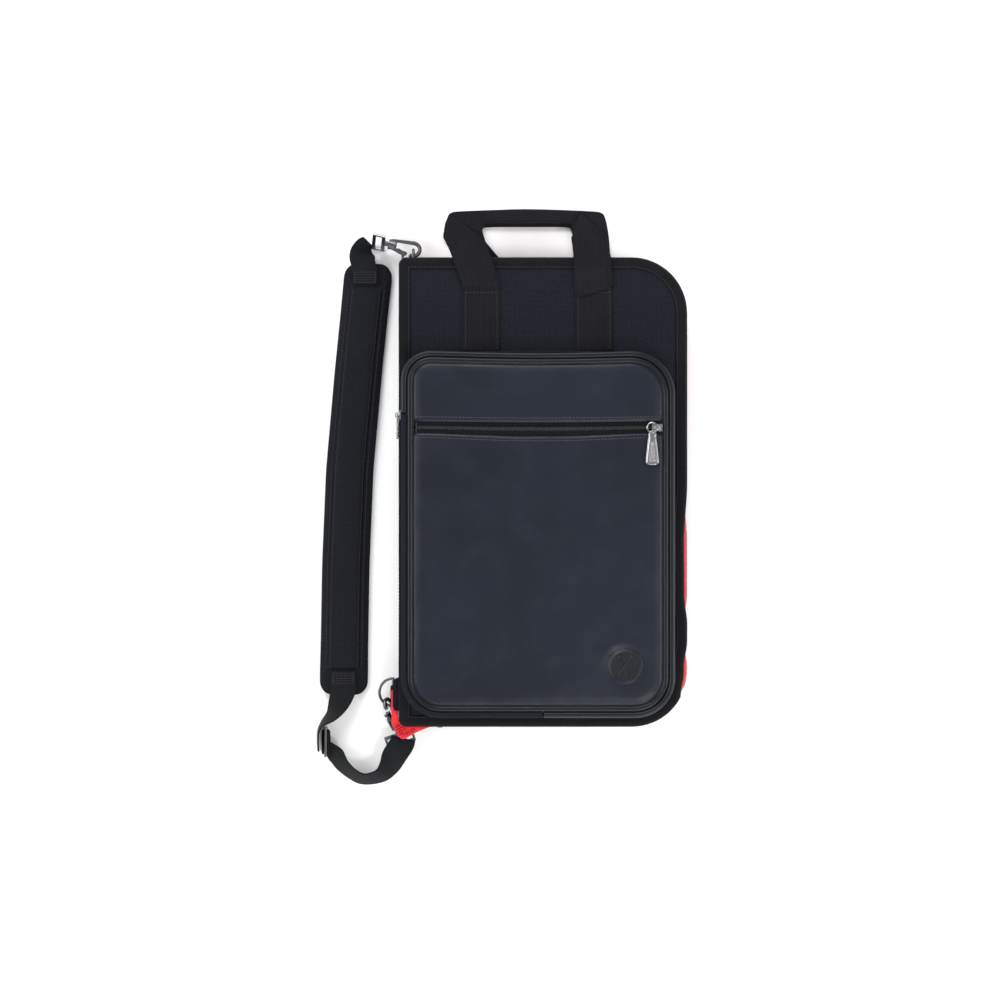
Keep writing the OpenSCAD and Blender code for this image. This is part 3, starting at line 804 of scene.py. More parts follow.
def make_panels():
    legs_end = box("front_handle_legs")[0][1]

    def front_face(x, y, edge):
        swell = 1.1 * ease(edge / 26) - 0.9 * (1 - ease(edge / 5))
        # Fabric is drawn up between the sewn handle legs and eases off towards the corners
        pull = 0.7 * wander(x, y, 34, 1.0) + 0.35 * wander(x, y, 13, 4.0)
        high = ease((y - legs_end + 6) / 40)
        return front_top - 0.2 + swell + pull * (0.35 + 0.65 * high) * ease(edge / 18)

    def front_inside(x, y, edge):
        return front_low + 0.2

    front = pillow("front_panel_fabric", BODY, panel_inset, front_face, front_inside, step=4)
    dress(front, NYLON, "cover", ["front_panel"])

    def back_face(x, y, edge):
        return 0.25 + 0.9 * (1 - ease(edge / 6))

    def back_inside(x, y, edge):
        return back_top - 0.1 - 0.6 * (1 - ease(edge / 5))

    back = pillow("back_panel_fabric", BODY, panel_inset, back_inside, back_face, step=5)
    dress(back, NYLON, "bag_back", ["back_panel"])


def make_main_zipper():
    """The gussets of both halves, and between them the red tapes and their rows of coil."""
    back_zip_low, back_zip_top = levels("main_zipper_back")
    front_zip_low, front_zip_top = levels("main_zipper_front")
    for side, z0, z1, body, bulge, depth in (
            ("front", front_zip_top - 0.2, front_low + 0.6, "cover", 1.2, 1.6),
            ("back", back_top - 0.6, back_zip_low + 0.2, "bag_back", 1.0, -0.6)):
        wall(f"{side}_gusset_fabric", BODY, flat_profile(5.0, 7.6, z0, z1, bulge), NYLON, body, "nylon",
             [f"{side}_gusset"], part=OPEN_SIDES, shape=draw_back(depth))
    for side, z0, depth0, z1, depth1, body in (
            ("back", back_zip_low - 2.4, 0.3, back_zip_top - 0.9, -3.3, "bag_back"),
            ("front", front_zip_low + 0.9, -3.3, front_zip_top + 2.4, 2.2, "cover")):
        wall(f"main_zip_tape_{side}", BODY, flat_profile(3.9, 4.7, z0, z1), RED_TAPE, body, "red_zipper",
             [f"main_zipper_{side}"], part=OPEN_SIDES, shape=slanted(z0, depth0, z1, depth1))
    path = ring(*BODY, inset=3.6)[OPEN_SIDES]
    # The coil is pushed out over the opening edge so that its red, darker than the tape's, also paints the
    # shade along that edge
    bulged = draw_back(-3.8)
    for side, z, shift, body in (("back", back_zip_top - 0.5, 0.0, "bag_back"),
                                 ("front", front_zip_low + 0.5, 0.5, "cover")):
        coil(f"main_zip_coil_{side}", bulged(at_height(path, z)), 2.4, shift, 3, (2.5, 1.15, 2.0),
             RED_COIL, body)


def make_halves():
    make_binding("front", front_low, front_top, "cover", uneven(3.1, 0.35, 45, 2.0))
    make_binding("back", 0.3, back_top, "bag_back", uneven(0, 0.0, 60, 5.0))
    make_panels()
    make_main_zipper()


def make_spine():
    """Cloth of the spine: sewn along both halves' edges, with a shallow fold down its middle."""
    low, high = box("spine_gusset")
    ys = np.linspace(low[1] - 1, high[1] + 1, 120)
    zs = np.linspace(back_top - 2.5, front_top - 0.6, 22)
    y, z = np.meshgrid(ys, zs, indexing="ij")
    fold = 1.3 * hump(z - (zs[0] + zs[-1]) / 2, 4.5)
    x = low[0] + 0.2 + fold + 0.35 * wander(y, z * 3, 40, 7.0)
    cloth_wall = grid_piece("spine_fabric", xyz(x, y, z))
    outwards = -1 if cloth_wall.data.polygons[0].normal.x < 0 else 1
    modifier(cloth_wall, "SOLIDIFY", thickness=1.4 * MM, offset=outwards)
    dress(cloth_wall, NYLON, "bag_back", ["spine_gusset"])
    seam_ys = np.linspace(ys[0] + 4, ys[-1] - 4, 60)
    for k, height in enumerate((back_top + 2.0, front_top - 8.6)):
        seam = xyz(low[0] - 0.1, seam_ys, height)
        sew(f"spine_stitches_{k + 1}", [seam], "bag_back", "nylon", up=(-1, 0, 0))


# ---- inside ---------------------------------------------------------------------------------

def make_linings():
    def sheet_face(base, lift, seed):
        def face(x, y, edge):
            return base + lift * ease(edge / 12) * (0.6 + 0.4 * wander(x, y, 55, seed))
        return face

    for side, body, above, below in (("back", "bag_back", (-0.3, 0.25, 1.5), (-0.2, 0.0, 0.0)),
                                     ("front", "cover", (0.1, 0.0, 0.0), (0.4, -0.35, 2.5))):
        low, high = levels(f"{side}_lining")
        upper = sheet_face(high + above[0], *above[1:])
        lower = sheet_face(low + below[0], *below[1:])
        lining = pillow(f"{side}_lining_cloth", BODY, lining_inset, upper, lower, step=8)
        dress(lining, LINING, body, [f"{side}_lining"])


def make_stick_sleeve():
    """One cloth sewn down in channels, puffed between the seams, with a hemmed mouth at the top."""
    low, high = box("stick_sleeve")
    channels = 7
    u = np.linspace(0, 1, 14 * channels + 1)
    xs = low[0] + (high[0] - low[0]) * u
    x, y = np.meshgrid(xs, np.linspace(low[1] + 0.5, high[1], 64), indexing="ij")
    arch = np.abs(np.sin(u * channels * math.pi))[:, None] ** 0.62
    closed = 1 - ease((y - low[1]) / 26)
    full = high[2] - low[2] - 2.2
    sag = 1 - 0.13 * (0.5 + 0.5 * wander(x * 0.6, y, 70, 9.0))
    z = low[2] + 0.9 + full * arch * sag * (1 - 0.8 * closed)
    sheet("stick_sleeve_fabric", xyz(x, y, z), 1.1, NYLON, "bag_back", ["stick_sleeve"])
    hem_ys = np.linspace(high[1] - 9, high[1] + 0.8, 4)
    sheet("stick_sleeve_hem", xyz(xs[:, None], hem_ys, z[:, -1:] + 0.75), 0.8, BINDING, "bag_back")
    seam_ys = np.linspace(low[1] + 3, high[1] - 10, 30)
    seam_xs = [low[0] + (high[0] - low[0]) * k / channels for k in range(1, channels)]
    sew("stick_sleeve_seams", [xyz(at, seam_ys, low[2] + 1.7) for at in seam_xs], "bag_back", "nylon",
        THREAD, pitch=4, length=3, width=0.9)


def make_inner_pouch():
    """Flat pouch on the inside of the front half, with a bound mouth."""
    low, high = box("inner_pocket")
    outline = ((*low[:2], *high[:2]), (6, 6, 2, 2))

    def inner_face(x, y, edge):
        belly = ease(edge / 30) * (0.75 + 0.25 * wander(x, y, 60, 3.3))
        return high[2] - 0.8 - 2.6 * belly

    def sewn_face(x, y, edge):
        return high[2] - 0.1

    pouch = pillow("inner_pouch_fabric", outline, 0.5, sewn_face, inner_face, step=6)
    dress(pouch, NYLON, "cover", ["inner_pocket"])
    hem_ys = high[1] + np.array([-11, -7, -3, 0.4])
    x, y = np.meshgrid(np.linspace(low[0] + 1, high[0] - 1, 60), hem_ys, indexing="ij")
    border = np.minimum(np.minimum(x - low[0], high[0] - x), high[1] - y).clip(0)
    sheet("inner_pouch_hem", xyz(x, y, inner_face(x, y, border) - 0.7), 0.9, BINDING, "cover")


# ---- front pocket ---------------------------------------------------------------------------

pocket_low, pocket_high = box("outer_piping", "corner_piping")
POCKET = ((*pocket_low[:2], *pocket_high[:2]), (40, 40, 45, 30))
skin_top = levels("panel_lower")[1]
piping_low = levels("outer_piping")[0]
piping_w = 6.0
pocket_step = 1.8
gusset_top = levels("pocket_gusset")[1]
slash_low, slash_high = box("slash_tape")
slash_y = (slash_low[1] + slash_high[1]) / 2

# The pocket's front folds back along the line between the two ends of its zipper
JOINTS = {joint["name"]: joint for joint in frame["record"]["behaviour"]["joints"]}
pocket_hinge = JOINTS["pocket_opening"]
hinge_axis = np.array(pocket_hinge["axis"][:2])
FOLD_A = np.array(pocket_hinge["pos_m"][:2]) / MM
FOLD_B = FOLD_A + hinge_axis * (pocket_low[1] - FOLD_A[1]) / hinge_axis[1]
fold_ahead = unit(FOLD_B - FOLD_A)
fold_out = np.array([-fold_ahead[1], fold_ahead[0]])


def past_fold(x, y):
    """Distance from the fold line, positive on the moving side."""
    return (x - FOLD_A[0]) * fold_out[0] + (y - FOLD_A[1]) * fold_out[1]


def leather_fold():
    """The two bodies of the pocket's leather, and a stretch across the fold line between them."""
    width = 26
    middle = (FOLD_A + FOLD_B) / 2
    start, end = [(middle + fold_out * width * side) * MM for side in (-0.5, 0.5)]
    return ("cover", "pocket_lid", (*start, skin_top * MM), (*end, skin_top * MM))


def cyclic_run(chosen):
    """Indices of the one run of chosen places in a closed ring, in order."""
    count = len(chosen)
    first = next(k for k in range(count) if chosen[k] and not chosen[k - 1])
    order = (first + np.arange(count)) % count
    return order[chosen[order]]


def pocket_parts():
    """Ring indices in two runs: the zipped side that lifts, and the corner side that stays sewn."""
    points = ring(*POCKET, step=pocket_step)
    moving = past_fold(points[:, 0], points[:, 1]) > 0.2
    return cyclic_run(moving), cyclic_run(~moving)


def soft_wave(lift, size, seed):
    def shape(points):
        moved = points.copy()
        moved[..., 2] += lift * wander(moved[..., 0], moved[..., 1], size, seed)
        return moved
    return shape


def make_pocket_walls():
    lifting, staying = pocket_parts()
    under_cord = piping_low + 0.8
    wall("pocket_gusset_fabric", POCKET, flat_profile(1.2, 3.8, front_top - 0.4, gusset_top + 0.2, 0.9),
         NYLON, "cover", "nylon", ["pocket_gusset"])
    wall("corner_gusset_fabric", POCKET, flat_profile(0.9, 3.4, gusset_top - 0.2, under_cord, 0.8),
         NYLON, "cover", "nylon", ["corner_gusset"], part=staying, step=pocket_step)
    wall("lid_band_leather", POCKET, flat_profile(0.9, 3.0, levels("lid_band")[0] - 0.2, under_cord, 0.5),
         PIPING, "pocket_lid", "leather_piping", ["lid_band"], part=lifting, step=pocket_step)
    lower, upper = levels("pocket_zipper_lower"), levels("pocket_zipper_upper")
    for side, z0, z1, body in (("lower", lower[0] - 0.6, lower[1] - 0.5, "cover"),
                               ("upper", upper[0] + 0.5, upper[1] + 0.6, "pocket_lid")):
        wall(f"pocket_zip_tape_{side}", POCKET, flat_profile(0.8, 2.0, z0, z1, 0.3), BLACK_TAPE, body,
             "black_zipper", [f"pocket_zipper_{side}"], part=lifting, step=pocket_step)
    path = ring(*POCKET, inset=0.9, step=pocket_step)[lifting]
    for side, z, shift, body in (("lower", lower[1] - 0.5, 0.0, "cover"),
                                 ("upper", upper[0] + 0.5, 0.5, "pocket_lid")):
        coil(f"pocket_zip_coil_{side}", at_height(path, z), 1.9, shift, 4, (2.1, 1.4, 1.6),
             BLACK_COIL, body)


def make_piping():
    """Two rounds of covered cord: the outer one is cut at the fold, the inner one runs across it."""
    lifting, staying = pocket_parts()
    outer = round_profile(3.0, piping_low + 3.0, 3.15, 3.3)
    loose = soft_wave(0.25, 38, 11.0)
    wall("outer_piping_leather", POCKET, outer, PIPING, "pocket_lid", "leather_piping", ["outer_piping"],
         part=lifting, shape=loose, step=pocket_step)
    wall("corner_piping_fabric", POCKET, outer, NYLON, "cover", "nylon", part=staying, shape=loose,
         step=pocket_step)
    inner = round_profile(9.1, piping_low + 3.6, 3.1, 3.5)
    wall("inner_piping_leather", POCKET, inner, PIPING, None, "leather_piping",
         ["inner_piping", "corner_piping"], leather_fold(), shape=loose, step=4)
    # A thin black cord lies in each of the two grooves as painted shade: it darkens the recesses where shade
    # falls
    for k, (inset, z) in enumerate(((6.05, piping_low + 3.4), (12.1, piping_low + 4.6))):
        seam = round_profile(inset, z, 0.55, 0.7, power=2, count=8)
        wall(f"piping_groove_shadow_{k + 1}", POCKET, seam, BLACK_THREAD, None, "leather_piping", (), leather_fold(),
             shape=loose, step=4)


emblem_low, emblem_high = box("emblem")
EMBLEM = (emblem_low[:2] + emblem_high[:2]) / 2
emblem_r = (emblem_high[0] - emblem_low[0]) / 2
# Middle of the shallow dent that runs across the lower panel, as shares of the pocket's size
DENT = pocket_low + (pocket_high - pocket_low) * (0.355, 0.467, 1)


def leather_height(x, y, edge):
    """The pocket's leather: rises from the piping, crowns softly and dips where it is pressed in."""
    rise = 1.9 * ease(edge / 9) - 1.5
    crown = 1.3 * ease(edge / 70)
    dents = 0.55 * wander(x, y, 62, 21.0) + 0.22 * wander(x, y, 24, 22.0)
    dx, dy = x - DENT[0], y - DENT[1]
    slant = 0.8 * hump(dx * 0.35 + dy, 26) * hump(dx, 60)
    from_emblem = np.hypot(x - EMBLEM[0], y - EMBLEM[1])
    press = 1.1 * (1 - ease((from_emblem - emblem_r + 1.5) / 4.0))
    lift = (crown + dents) * ease(edge / 16) - slant
    return skin_top - 0.4 + rise + lift * (1 - press / 1.6) - press


def leather_panel(name, outline, face, body, nodes, fold=None):
    thickness = 1.7

    def under(x, y, edge):
        return face(x, y, edge) - thickness

    made = pillow(name, outline, 0.0, face, under, step=3.5)
    dress(made, LEATHER, body, nodes, fold)


def make_leather():
    (x0, y0, x1, y1), radii = POCKET
    rim = 2 * piping_w - 0.4
    corner = [r - rim for r in radii]
    x0, y0, x1, y1 = x0 + rim, y0 + rim, x1 - rim, y1 - rim
    low_top = slash_y - 5.6
    high_bottom = slash_y + 6.4
    # How far the two rows of stitches lie from the slash's hemmed edges
    seam_in = 4.2

    def hemmed(seam_y, wave):
        def face(x, y, edge):
            near = np.abs(y - seam_y)
            hem = 0.9 * hump(near, 2.6) + 0.35 * hump(near - 7, 4)
            ripple = wave * wander(x, y * 0.3, 30, 31.0) * np.exp(-near / 12)
            from_side = np.where(near < edge + 1e-6, np.minimum(x - x0, x1 - x), edge)
            groove = 0.5 * hump(near - seam_in, 1.1)
            return leather_height(x, y, from_side) + ripple - groove + hem * 0.6
        return face

    lower_face, upper_face = hemmed(low_top, 0.5), hemmed(high_bottom, 0.6)
    lower = ((x0, y0, x1, low_top), (*corner[:2], 2, 2))
    leather_panel("panel_leather_lower", lower, lower_face, None, ["panel_lower", "corner_panel"],
                  leather_fold())
    upper = ((x0, high_bottom, x1, y1), (2, 2, *corner[2:]))
    leather_panel("panel_leather_upper", upper, upper_face, "pocket_lid", ["panel_upper", "slash_flap"])
    xs = np.linspace(x0 + 3, x1 - 3, 90)
    for side, seam_y, face in (("lower", low_top - seam_in, lower_face),
                               ("upper", high_bottom + seam_in, upper_face)):
        z = face(xs, seam_y + xs * 0, seam_in) + 0.15
        sew(f"slash_stitches_{side}", [xyz(xs, seam_y, z)], "pocket_lid", "leather_panel", THREAD,
            pitch=3.5, length=2.7, width=0.85, height=0.6)
    # The row of stitches beside the inner piping
    inset = 15.4
    path = ring(*POCKET, inset=inset, step=3)
    run = path[cyclic_run(path[:, 1] < low_top - 6)]
    z = lower_face(*run.T, inset - rim) + 0.1
    sew("panel_stitches_1", [at_height(run, z)], None, "leather_panel", fold=leather_fold(), pitch=3.5)


def make_slash_zipper():
    low, high = slash_low, slash_high
    coil_z = levels("slash_coil")[0]
    xs = np.linspace(low[0] + 0.5, high[0] - 0.5, 100)
    wave = 0.5 * wander(xs, xs * 0, 34, 31.0)
    for side, y0, y1, nodes in (("lower", low[1] + 1, slash_y - 0.9, ["slash_tape"]),
                                ("upper", slash_y + 0.9, high[1] - 1, ())):
        ys = np.linspace(y0, y1, 6)
        z = coil_z + 0.2 + wave[:, None] - 0.25 * np.sin((ys - y0) / (y1 - y0) * math.pi)
        sheet(f"slash_tape_{side}", xyz(xs[:, None], ys, z), 0.8, BLACK_TAPE, "pocket_lid",
              nodes)
    for side, aside, shift, nodes in (("lower", -0.75, 0.0, ["slash_coil"]), ("upper", 0.75, 0.5, ())):
        line = xyz(xs, slash_y + aside, coil_z + 0.9 + wave)
        coil(f"slash_coil_{side}", line, 1.7, shift, 2, (2.6, 1.35, 1.5), BLACK_COIL, "pocket_lid",
             nodes, lying=True)
    tack_ys = np.linspace(slash_y - 4.5, slash_y + 4.5, 10)
    sew("slash_bar_tacks", [xyz(x, tack_ys, coil_z + 1.7) for x in (low[0] + 3.5, high[0] - 2.5)],
        "pocket_lid", "black_zipper", pitch=0.9, width=1.1, height=1.2)
    liner_low, liner_high = box("slash_liner")
    outline = ((*liner_low[:2], *liner_high[:2]), [r - 4 for r in POCKET[1]])

    def bag_face(offset):
        def face(x, y, edge):
            return liner_low[2] + offset + 0.5 * wander(x, y, 50, 41.0) * ease(edge / 20)
        return face

    liner = pillow("slash_liner_cloth", outline, 0.5, bag_face(0.8), bag_face(0.0), step=8)
    cut_to_lid(liner)
    dress(liner, LINING, "pocket_lid", ["slash_liner"])


def cut_to_lid(piece):
    """Cuts off what lies on the sewn corner's side of the fold line."""
    edit = bmesh.new()
    edit.from_mesh(piece.data)
    place = Vector((FOLD_A[0] * MM, FOLD_A[1] * MM, 0))
    normal = Vector((fold_out[0], fold_out[1], 0))
    cut = bmesh.ops.bisect_plane(edit, geom=edit.verts[:] + edit.edges[:] + edit.faces[:],
                                 plane_co=place + normal * MM, plane_no=normal, clear_inner=True)
    edges = [e for e in cut["geom_cut"] if isinstance(e, bmesh.types.BMEdge)]
    bmesh.ops.holes_fill(edit, edges=edges, sides=0)
    edit.to_mesh(piece.data)
    edit.free()


def crossed_stick(angle, floor_z):
    """One stick of the emblem, half sunk: its width swells at the round tip."""
    tip = 12.6
    reach = np.linspace(-tip, tip, 40)
    width = np.interp(reach, [-tip, -12, 6, 9.6, 10.1, 10.6, 11.6, 12.3, tip],
                      [0.4, 1.25, 1.05, 0.6, 0.6, 1.2, 1.3, 0.9, 0.2])
    along = np.array([math.cos(angle), math.sin(angle)])
    side = np.array([-along[1], along[0]])
    rows = []
    for t, w in zip(reach, width):
        centre = EMBLEM + along * t
        section = []
        for b in np.arange(8) * math.pi / 4:
            z = floor_z + 0.35 + w * 0.55 * max(0, math.sin(b)) - 0.2 * (math.sin(b) < 0)
            section.append((*(centre + side * w * math.cos(b)), z))
        rows.append(section)
    return tube("stick", rows)


def make_emblem():
    """Round pressed mark: a ring and two crossed sticks with round tips."""
    floor_z = leather_height(EMBLEM[:1], EMBLEM[1:], np.array([40.0]))[0]
    rounds = [(emblem_r - 0.8, 0.0), (emblem_r - 1.1, 0.65), (emblem_r - 2.4, 0.75), (emblem_r - 2.9, 0.35),
              (emblem_r - 6, 0.3), (emblem_r * 0.3, 0.3), (0.4, 0.3)]
    points = [[(EMBLEM[0] + r * math.cos(a), EMBLEM[1] + r * math.sin(a), floor_z + z) for r, z in rounds]
              for a in np.arange(72) * math.pi / 36]
    disc = grid_piece("emblem_disc", points, close_u=True)
    dress(disc, EMBOSSED, "pocket_lid", ["emblem"])
    sticks = [crossed_stick(math.radians(90 + lean), floor_z) for lean in (-35, 35)]
    dress(join("emblem_sticks", sticks), EMBOSSED, "pocket_lid")


# ---- handles --------------------------------------------------------------------------------

def leg_spans():
    """Left and right edges of the two sewn legs, from the frame."""
    xs = corners(NODES["front_handle_legs"])[:, 0]
    return [(part.min(), part.max()) for part in (xs[xs < 0], xs[xs > 0])]


# Webbing of the handles: width of a leg, thickness of a sewn leg, of the loop and of the doubled grip,
# and how far below the grip's top the slanting fold starts
leg_w = leg_spans()[0][1] - leg_spans()[0][0]
leg_t, loop_t, grip_t = 1.5, 1.7, 5.2
fold_h = 24


def sewn_legs(node, body, y0, y1, z, seams_up):
    """Two webbing legs sewn down along both edges and across their ends."""
    strips, seams = [], []
    top = z + 0.66 * seams_up
    for x0, x1 in leg_spans():
        rows = [(x0, y, x1, y, z, leg_t) for y in np.linspace(y0, y1, 5)]
        strips.append(tube("leg", band_sections(rows)))
        seams += [[(x, y0 + 3, top), (x, y1 - 3, top)] for x in (x0 + 3.2, x1 - 3.2)]
        seams += [[(x0 + 3, y, top), (x1 - 3, y, top)] for y in (y1 - 4, y1 - 8)]
    dress(join(f"{node}_webbing", strips), HANDLE, body, [node])
    sew(f"{node}_webbing_stitches", seams, body, "webbing", up=(0, 0, seams_up))


def loop_rows(node, hinge_y, z, tuck, droop, lift_grip=0.0):
    """Edges of a handle's webbing: up one leg, over its slanting fold, along the doubled grip and down."""
    low, high = box(node)
    high[1] += lift_grip
    grip_z = max(z + 0.5, 0.53 * grip_t + 0.4)
    corner_y = high[1] - fold_h
    middle_x = (low[0] + high[0]) / 2
    grip_low = node_span(node, 0, middle_x, 1)[0] + lift_grip
    left, right = [], []
    for share in (0.03, 0.3, 0.6, 0.95):
        y = hinge_y + share * (corner_y - hinge_y)
        outer_left, outer_right = node_span(node, 1, max(y, low[1] + 0.2), 0)
        lift = z + 0.4 + 2.2 * share ** 2
        left.append((outer_left, y, outer_left + leg_w + 2 * share, y, lift, loop_t))
        right.append((outer_right, y, outer_right - leg_w + 2 * share, y - droop * (1 - share), lift, loop_t))

    # The fold turns the webbing's outer edge from the leg's side to the grip's top
    def turn(edge_row, way):
        outer_x, inner_x = edge_row[0], edge_row[2]
        return [(outer_x + way * 3, high[1] - 11, inner_x - way * 1, grip_low - 8, z + 3.6, loop_t),
                (outer_x + way * 7, high[1] - 4.5, inner_x, grip_low - 3, z + 3.0, 2.1),
                (outer_x + way * 18, high[1] - 2.6, inner_x + way * 3, grip_low, z + 1.2, 2.8)]

    grip = [(x, high[1] - 1.2 * abs(x - middle_x) / 40, x, grip_low + 0.4, grip_z, grip_t)
            for x in np.linspace(left[-1][2] + 18, right[-1][2] - 14, 4)]
    foot_left = [(left[0][0], hinge_y - tuck, left[0][2], hinge_y - tuck, z, leg_t)]
    foot_right = [(right[0][0] - 2, hinge_y - tuck, right[0][2] + 4, hinge_y - tuck - droop, z, leg_t)]
    return foot_left + left + turn(left[-1], 1) + grip + turn(right[-1], -1)[::-1] + right[::-1] + foot_right


def fold_rows(node, hinge_y, z):
    """Edges of the webbing's outer layer at both ends of the grip, each cut off along a diagonal fold."""
    low, high = box(node)
    layer_t = 1.3
    reach = high[1] - fold_h - hinge_y
    grip_low = node_span(node, 0, (low[0] + high[0]) / 2, 1)[0]
    pairs = []
    for side, way in ((0, 1), (1, -1)):
        rows = []
        for share in (0.25, 0.5, 0.72):
            y = hinge_y + share * reach
            outer = node_span(node, 1, y, 0)[side] + 0.3 * way
            inner = outer + way * (leg_w - 0.6) + 2 * share
            # The layer's foot sinks into the leg, so that no cut shows
            sunk = 0.75 if share == 0.25 else 0
            rows.append((outer, y, inner, y, z + 1.1 + 2.2 * share ** 2 - sunk, layer_t))
        outer = node_span(node, 1, hinge_y + 0.95 * reach, 0)[side]
        inner = outer + way * leg_w + 1.9
        if way > 0:
            rows.append((outer + 0.6, high[1] - 19, inner - 0.8, grip_low - 16.5, z + 4.1, layer_t))
            rows.append((outer + 6, high[1] - 5.2, inner - 1.6, grip_low - 14.5, z + 5.0, layer_t))
        else:
            rows.append((outer - 0.6, high[1] - 29, inner + 0.5, grip_low - 7, z + 4.3, layer_t))
            rows.append((outer - 1.4, high[1] - 27, inner + 8, high[1] - 4.6, z + 5.0, layer_t))
        pairs.append(rows)
    return pairs


def make_front_handle():
    low, high = box("front_handle_legs")
    sewn_legs("front_handle_legs", "cover", low[1] - 1, high[1] + 1, high[2] + 0.2, 1)
    hinge_y = high[1] + 0.4
    z = high[2] + 1.6
    rows = loop_rows("front_handle", hinge_y, z, tuck=3, droop=9)
    loop = tube("front_handle_webbing", band_sections(rows))
    hinge = [(0, (hinge_y - 7) * MM, z * MM), (0, (hinge_y + 8) * MM, z * MM)]
    dress(loop, HANDLE, None, ["front_handle"], fold=("cover", "front_handle", *hinge))
    layers = [tube("layer", band_sections(rows)) for rows in fold_rows("front_handle", hinge_y, z)]
    dress(join("front_handle_folds", layers), HANDLE, "front_handle")


def make_back_handle():
    low, high = box("back_handle_legs")
    sewn_legs("back_handle_legs", "bag_back", low[1], high[1] - 1, 0.95, -1)
    hinge_y = box("back_handle")[0][1]
    rows = loop_rows("back_handle", hinge_y, 1.3, tuck=5, droop=0, lift_grip=4.0)
    loop = tube("back_handle_webbing", band_sections(rows))
    hinge = [(0, (hinge_y - 5) * MM, 0), (0, (hinge_y + 6) * MM, 0)]
    dress(loop, HANDLE, None, ["back_handle"], fold=("bag_back", "back_handle", *hinge))


# ---- shoulder strap -------------------------------------------------------------------------

strap_w, strap_t = 25, 1.8
pad_low, pad_high = box("shoulder_pad")
pad_rim = 9.2
pad_ys = np.linspace(pad_low[1] + 0.6, pad_high[1] - 0.6, 220)
pad_edges = np.array([node_span("shoulder_pad", 1, y, 0) for y in pad_ys])


def pad_middle(y):
    return np.interp(y, pad_ys, pad_edges.mean(axis=1))


def pad_half(y):
    return np.interp(y, pad_ys, (pad_edges[:, 1] - pad_edges[:, 0]) / 2)


def pad_blank():
    """Flat blank of the pad, a little smaller than the finished one, for the stuffing to swell."""
    ends = np.array([0.8, 1.8, 3.2, 5, 7.5, 10.5, 14])
    ys = np.concatenate([pad_high[1] - ends, np.arange(pad_high[1] - 19, pad_low[1] + 18, -5.0),
                         pad_low[1] + ends[::-1]])
    across = np.linspace(-1, 1, 13)
    round_off = 3.2 * np.abs(across) ** 6
    sections = []
    for y in ys:
        xs = pad_middle(y) + (pad_half(y) - 0.2) * across
        upper, lower = xyz(xs, y, 8.6 - round_off), xyz(xs, y, 1.2 + round_off)
        sections.append(np.concatenate([upper, lower[::-1]]))
    return tube("shoulder_pad_fabric", sections)


def stuff(piece, pressure, reach, floor_z, roof_z):
    """Swells a closed blank like a stuffed pad by cloth simulation; its sewn rim holds the width."""
    start = corners(piece)
    cloth_settings = modifier(piece, "CLOTH").settings
    wanted = {"quality": 5, "mass": 0.2, "tension_stiffness": 18, "compression_stiffness": 18,
              "shear_stiffness": 8, "bending_stiffness": 1.2, "use_pressure": True,
              "uniform_pressure_force": pressure}
    for key, value in wanted.items():
        setattr(cloth_settings, key, value)
    cloth_settings.effector_weights.gravity = 0
    scene = bpy.context.scene
    for number in range(1, 21):
        scene.frame_set(number)
    apply_modifiers(piece)
    scene.frame_set(1)
    shift = corners(piece) - start
    length = np.linalg.norm(shift, axis=1, keepdims=True)
    shift *= np.minimum(1, reach / np.maximum(length, 1e-6))
    shift[:, :2] *= 0.2
    placed = start + shift
    placed[:, 2] = np.clip(placed[:, 2], floor_z, roof_z)
    move_corners(piece, placed)
    modifier(piece, "SUBSURF", levels=1, render_levels=1)
    apply_modifiers(piece)


def height_finder(piece, fallback):
    """Function that gives a piece's top at a place, in millimetres."""
    tree = BVHTree.FromObject(piece, bpy.context.evaluated_depsgraph_get())

    def top(x, y):
        hit = tree.ray_cast(Vector((x * MM, y * MM, 0.2)), Vector((0, 0, -1)))[0]
        return fallback if hit is None else hit.z / MM
    return top


def make_pad_facing(low, high, top):
    """Twill facing laid on the stuffed pad, with its sewn edge turned down."""
    ys = np.linspace(low[1] - 2, high[1] - 1, 150)
    grid = []
    for y in ys:
        reach = pad_half(y) - pad_rim
        end = min(y - ys[0], ys[-1] - y)
        row = []
        for t in np.linspace(-1, 1, 19):
            x = pad_middle(y) + reach * t
            rim = min(reach * (1 - abs(t)), end)
            crown = 0.95 * float(ease(rim / 3.5)) + 0.3 * float(ease(rim / 12))
            row.append((x, y, top(x, y) + 0.15 + crown + 0.25 * noise.noise(Vector((x / 9, y / 14, 3.0)))))
        grid.append(row)
    facing = grid_piece("pad_facing_twill", grid, planar=True)
    outwards = -1 if facing.data.polygons[0].normal.z > 0 else 1
    modifier(facing, "SOLIDIFY", thickness=1.0 * MM, offset=outwards)
    dress(facing, PAD_TWILL, "bag_back", ["pad_inset"])


def make_shoulder_pad():
    pad = pad_blank()
    stuff(pad, 3.0, 2.5, 0.2, 11.6)
    # Press the seam of the facing into the top, and lay slow unevenness along the pad
    co = corners(pad)
    off = np.abs(co[:, 0] - pad_middle(co[:, 1]))
    inner = pad_half(co[:, 1]) - pad_rim
    upper = ease((co[:, 2] - 6) / 2)
    co[:, 2] -= upper * 1.0 * hump(off - inner, 1.8)
    co[:, 2] += upper * 0.5 * wander(co[:, 0] * 1.6, co[:, 1], 26, 51.0)
    move_corners(pad, co)
    top = height_finder(pad, pad_high[2])
    dress(pad, PAD_NYLON, "bag_back", ["shoulder_pad"])
    low, high = box("pad_inset")
    make_pad_facing(low, high, top)
    seams = []
    for sign in (-1, 1):
        for inset, lift in ((1.8, 1.05), (-2.4, 0.25)):
            line = []
            for y in np.arange(low[1], high[1] - 2, 3.0):
                x = pad_middle(y) + sign * (pad_half(y) - pad_rim - inset)
                line.append((x, y, top(x, y) + lift))
            seams.append(line)
    sew("pad_stitches", seams, "bag_back", "nylon", pitch=3.2, length=2.5, width=0.65, height=0.45)
    return top


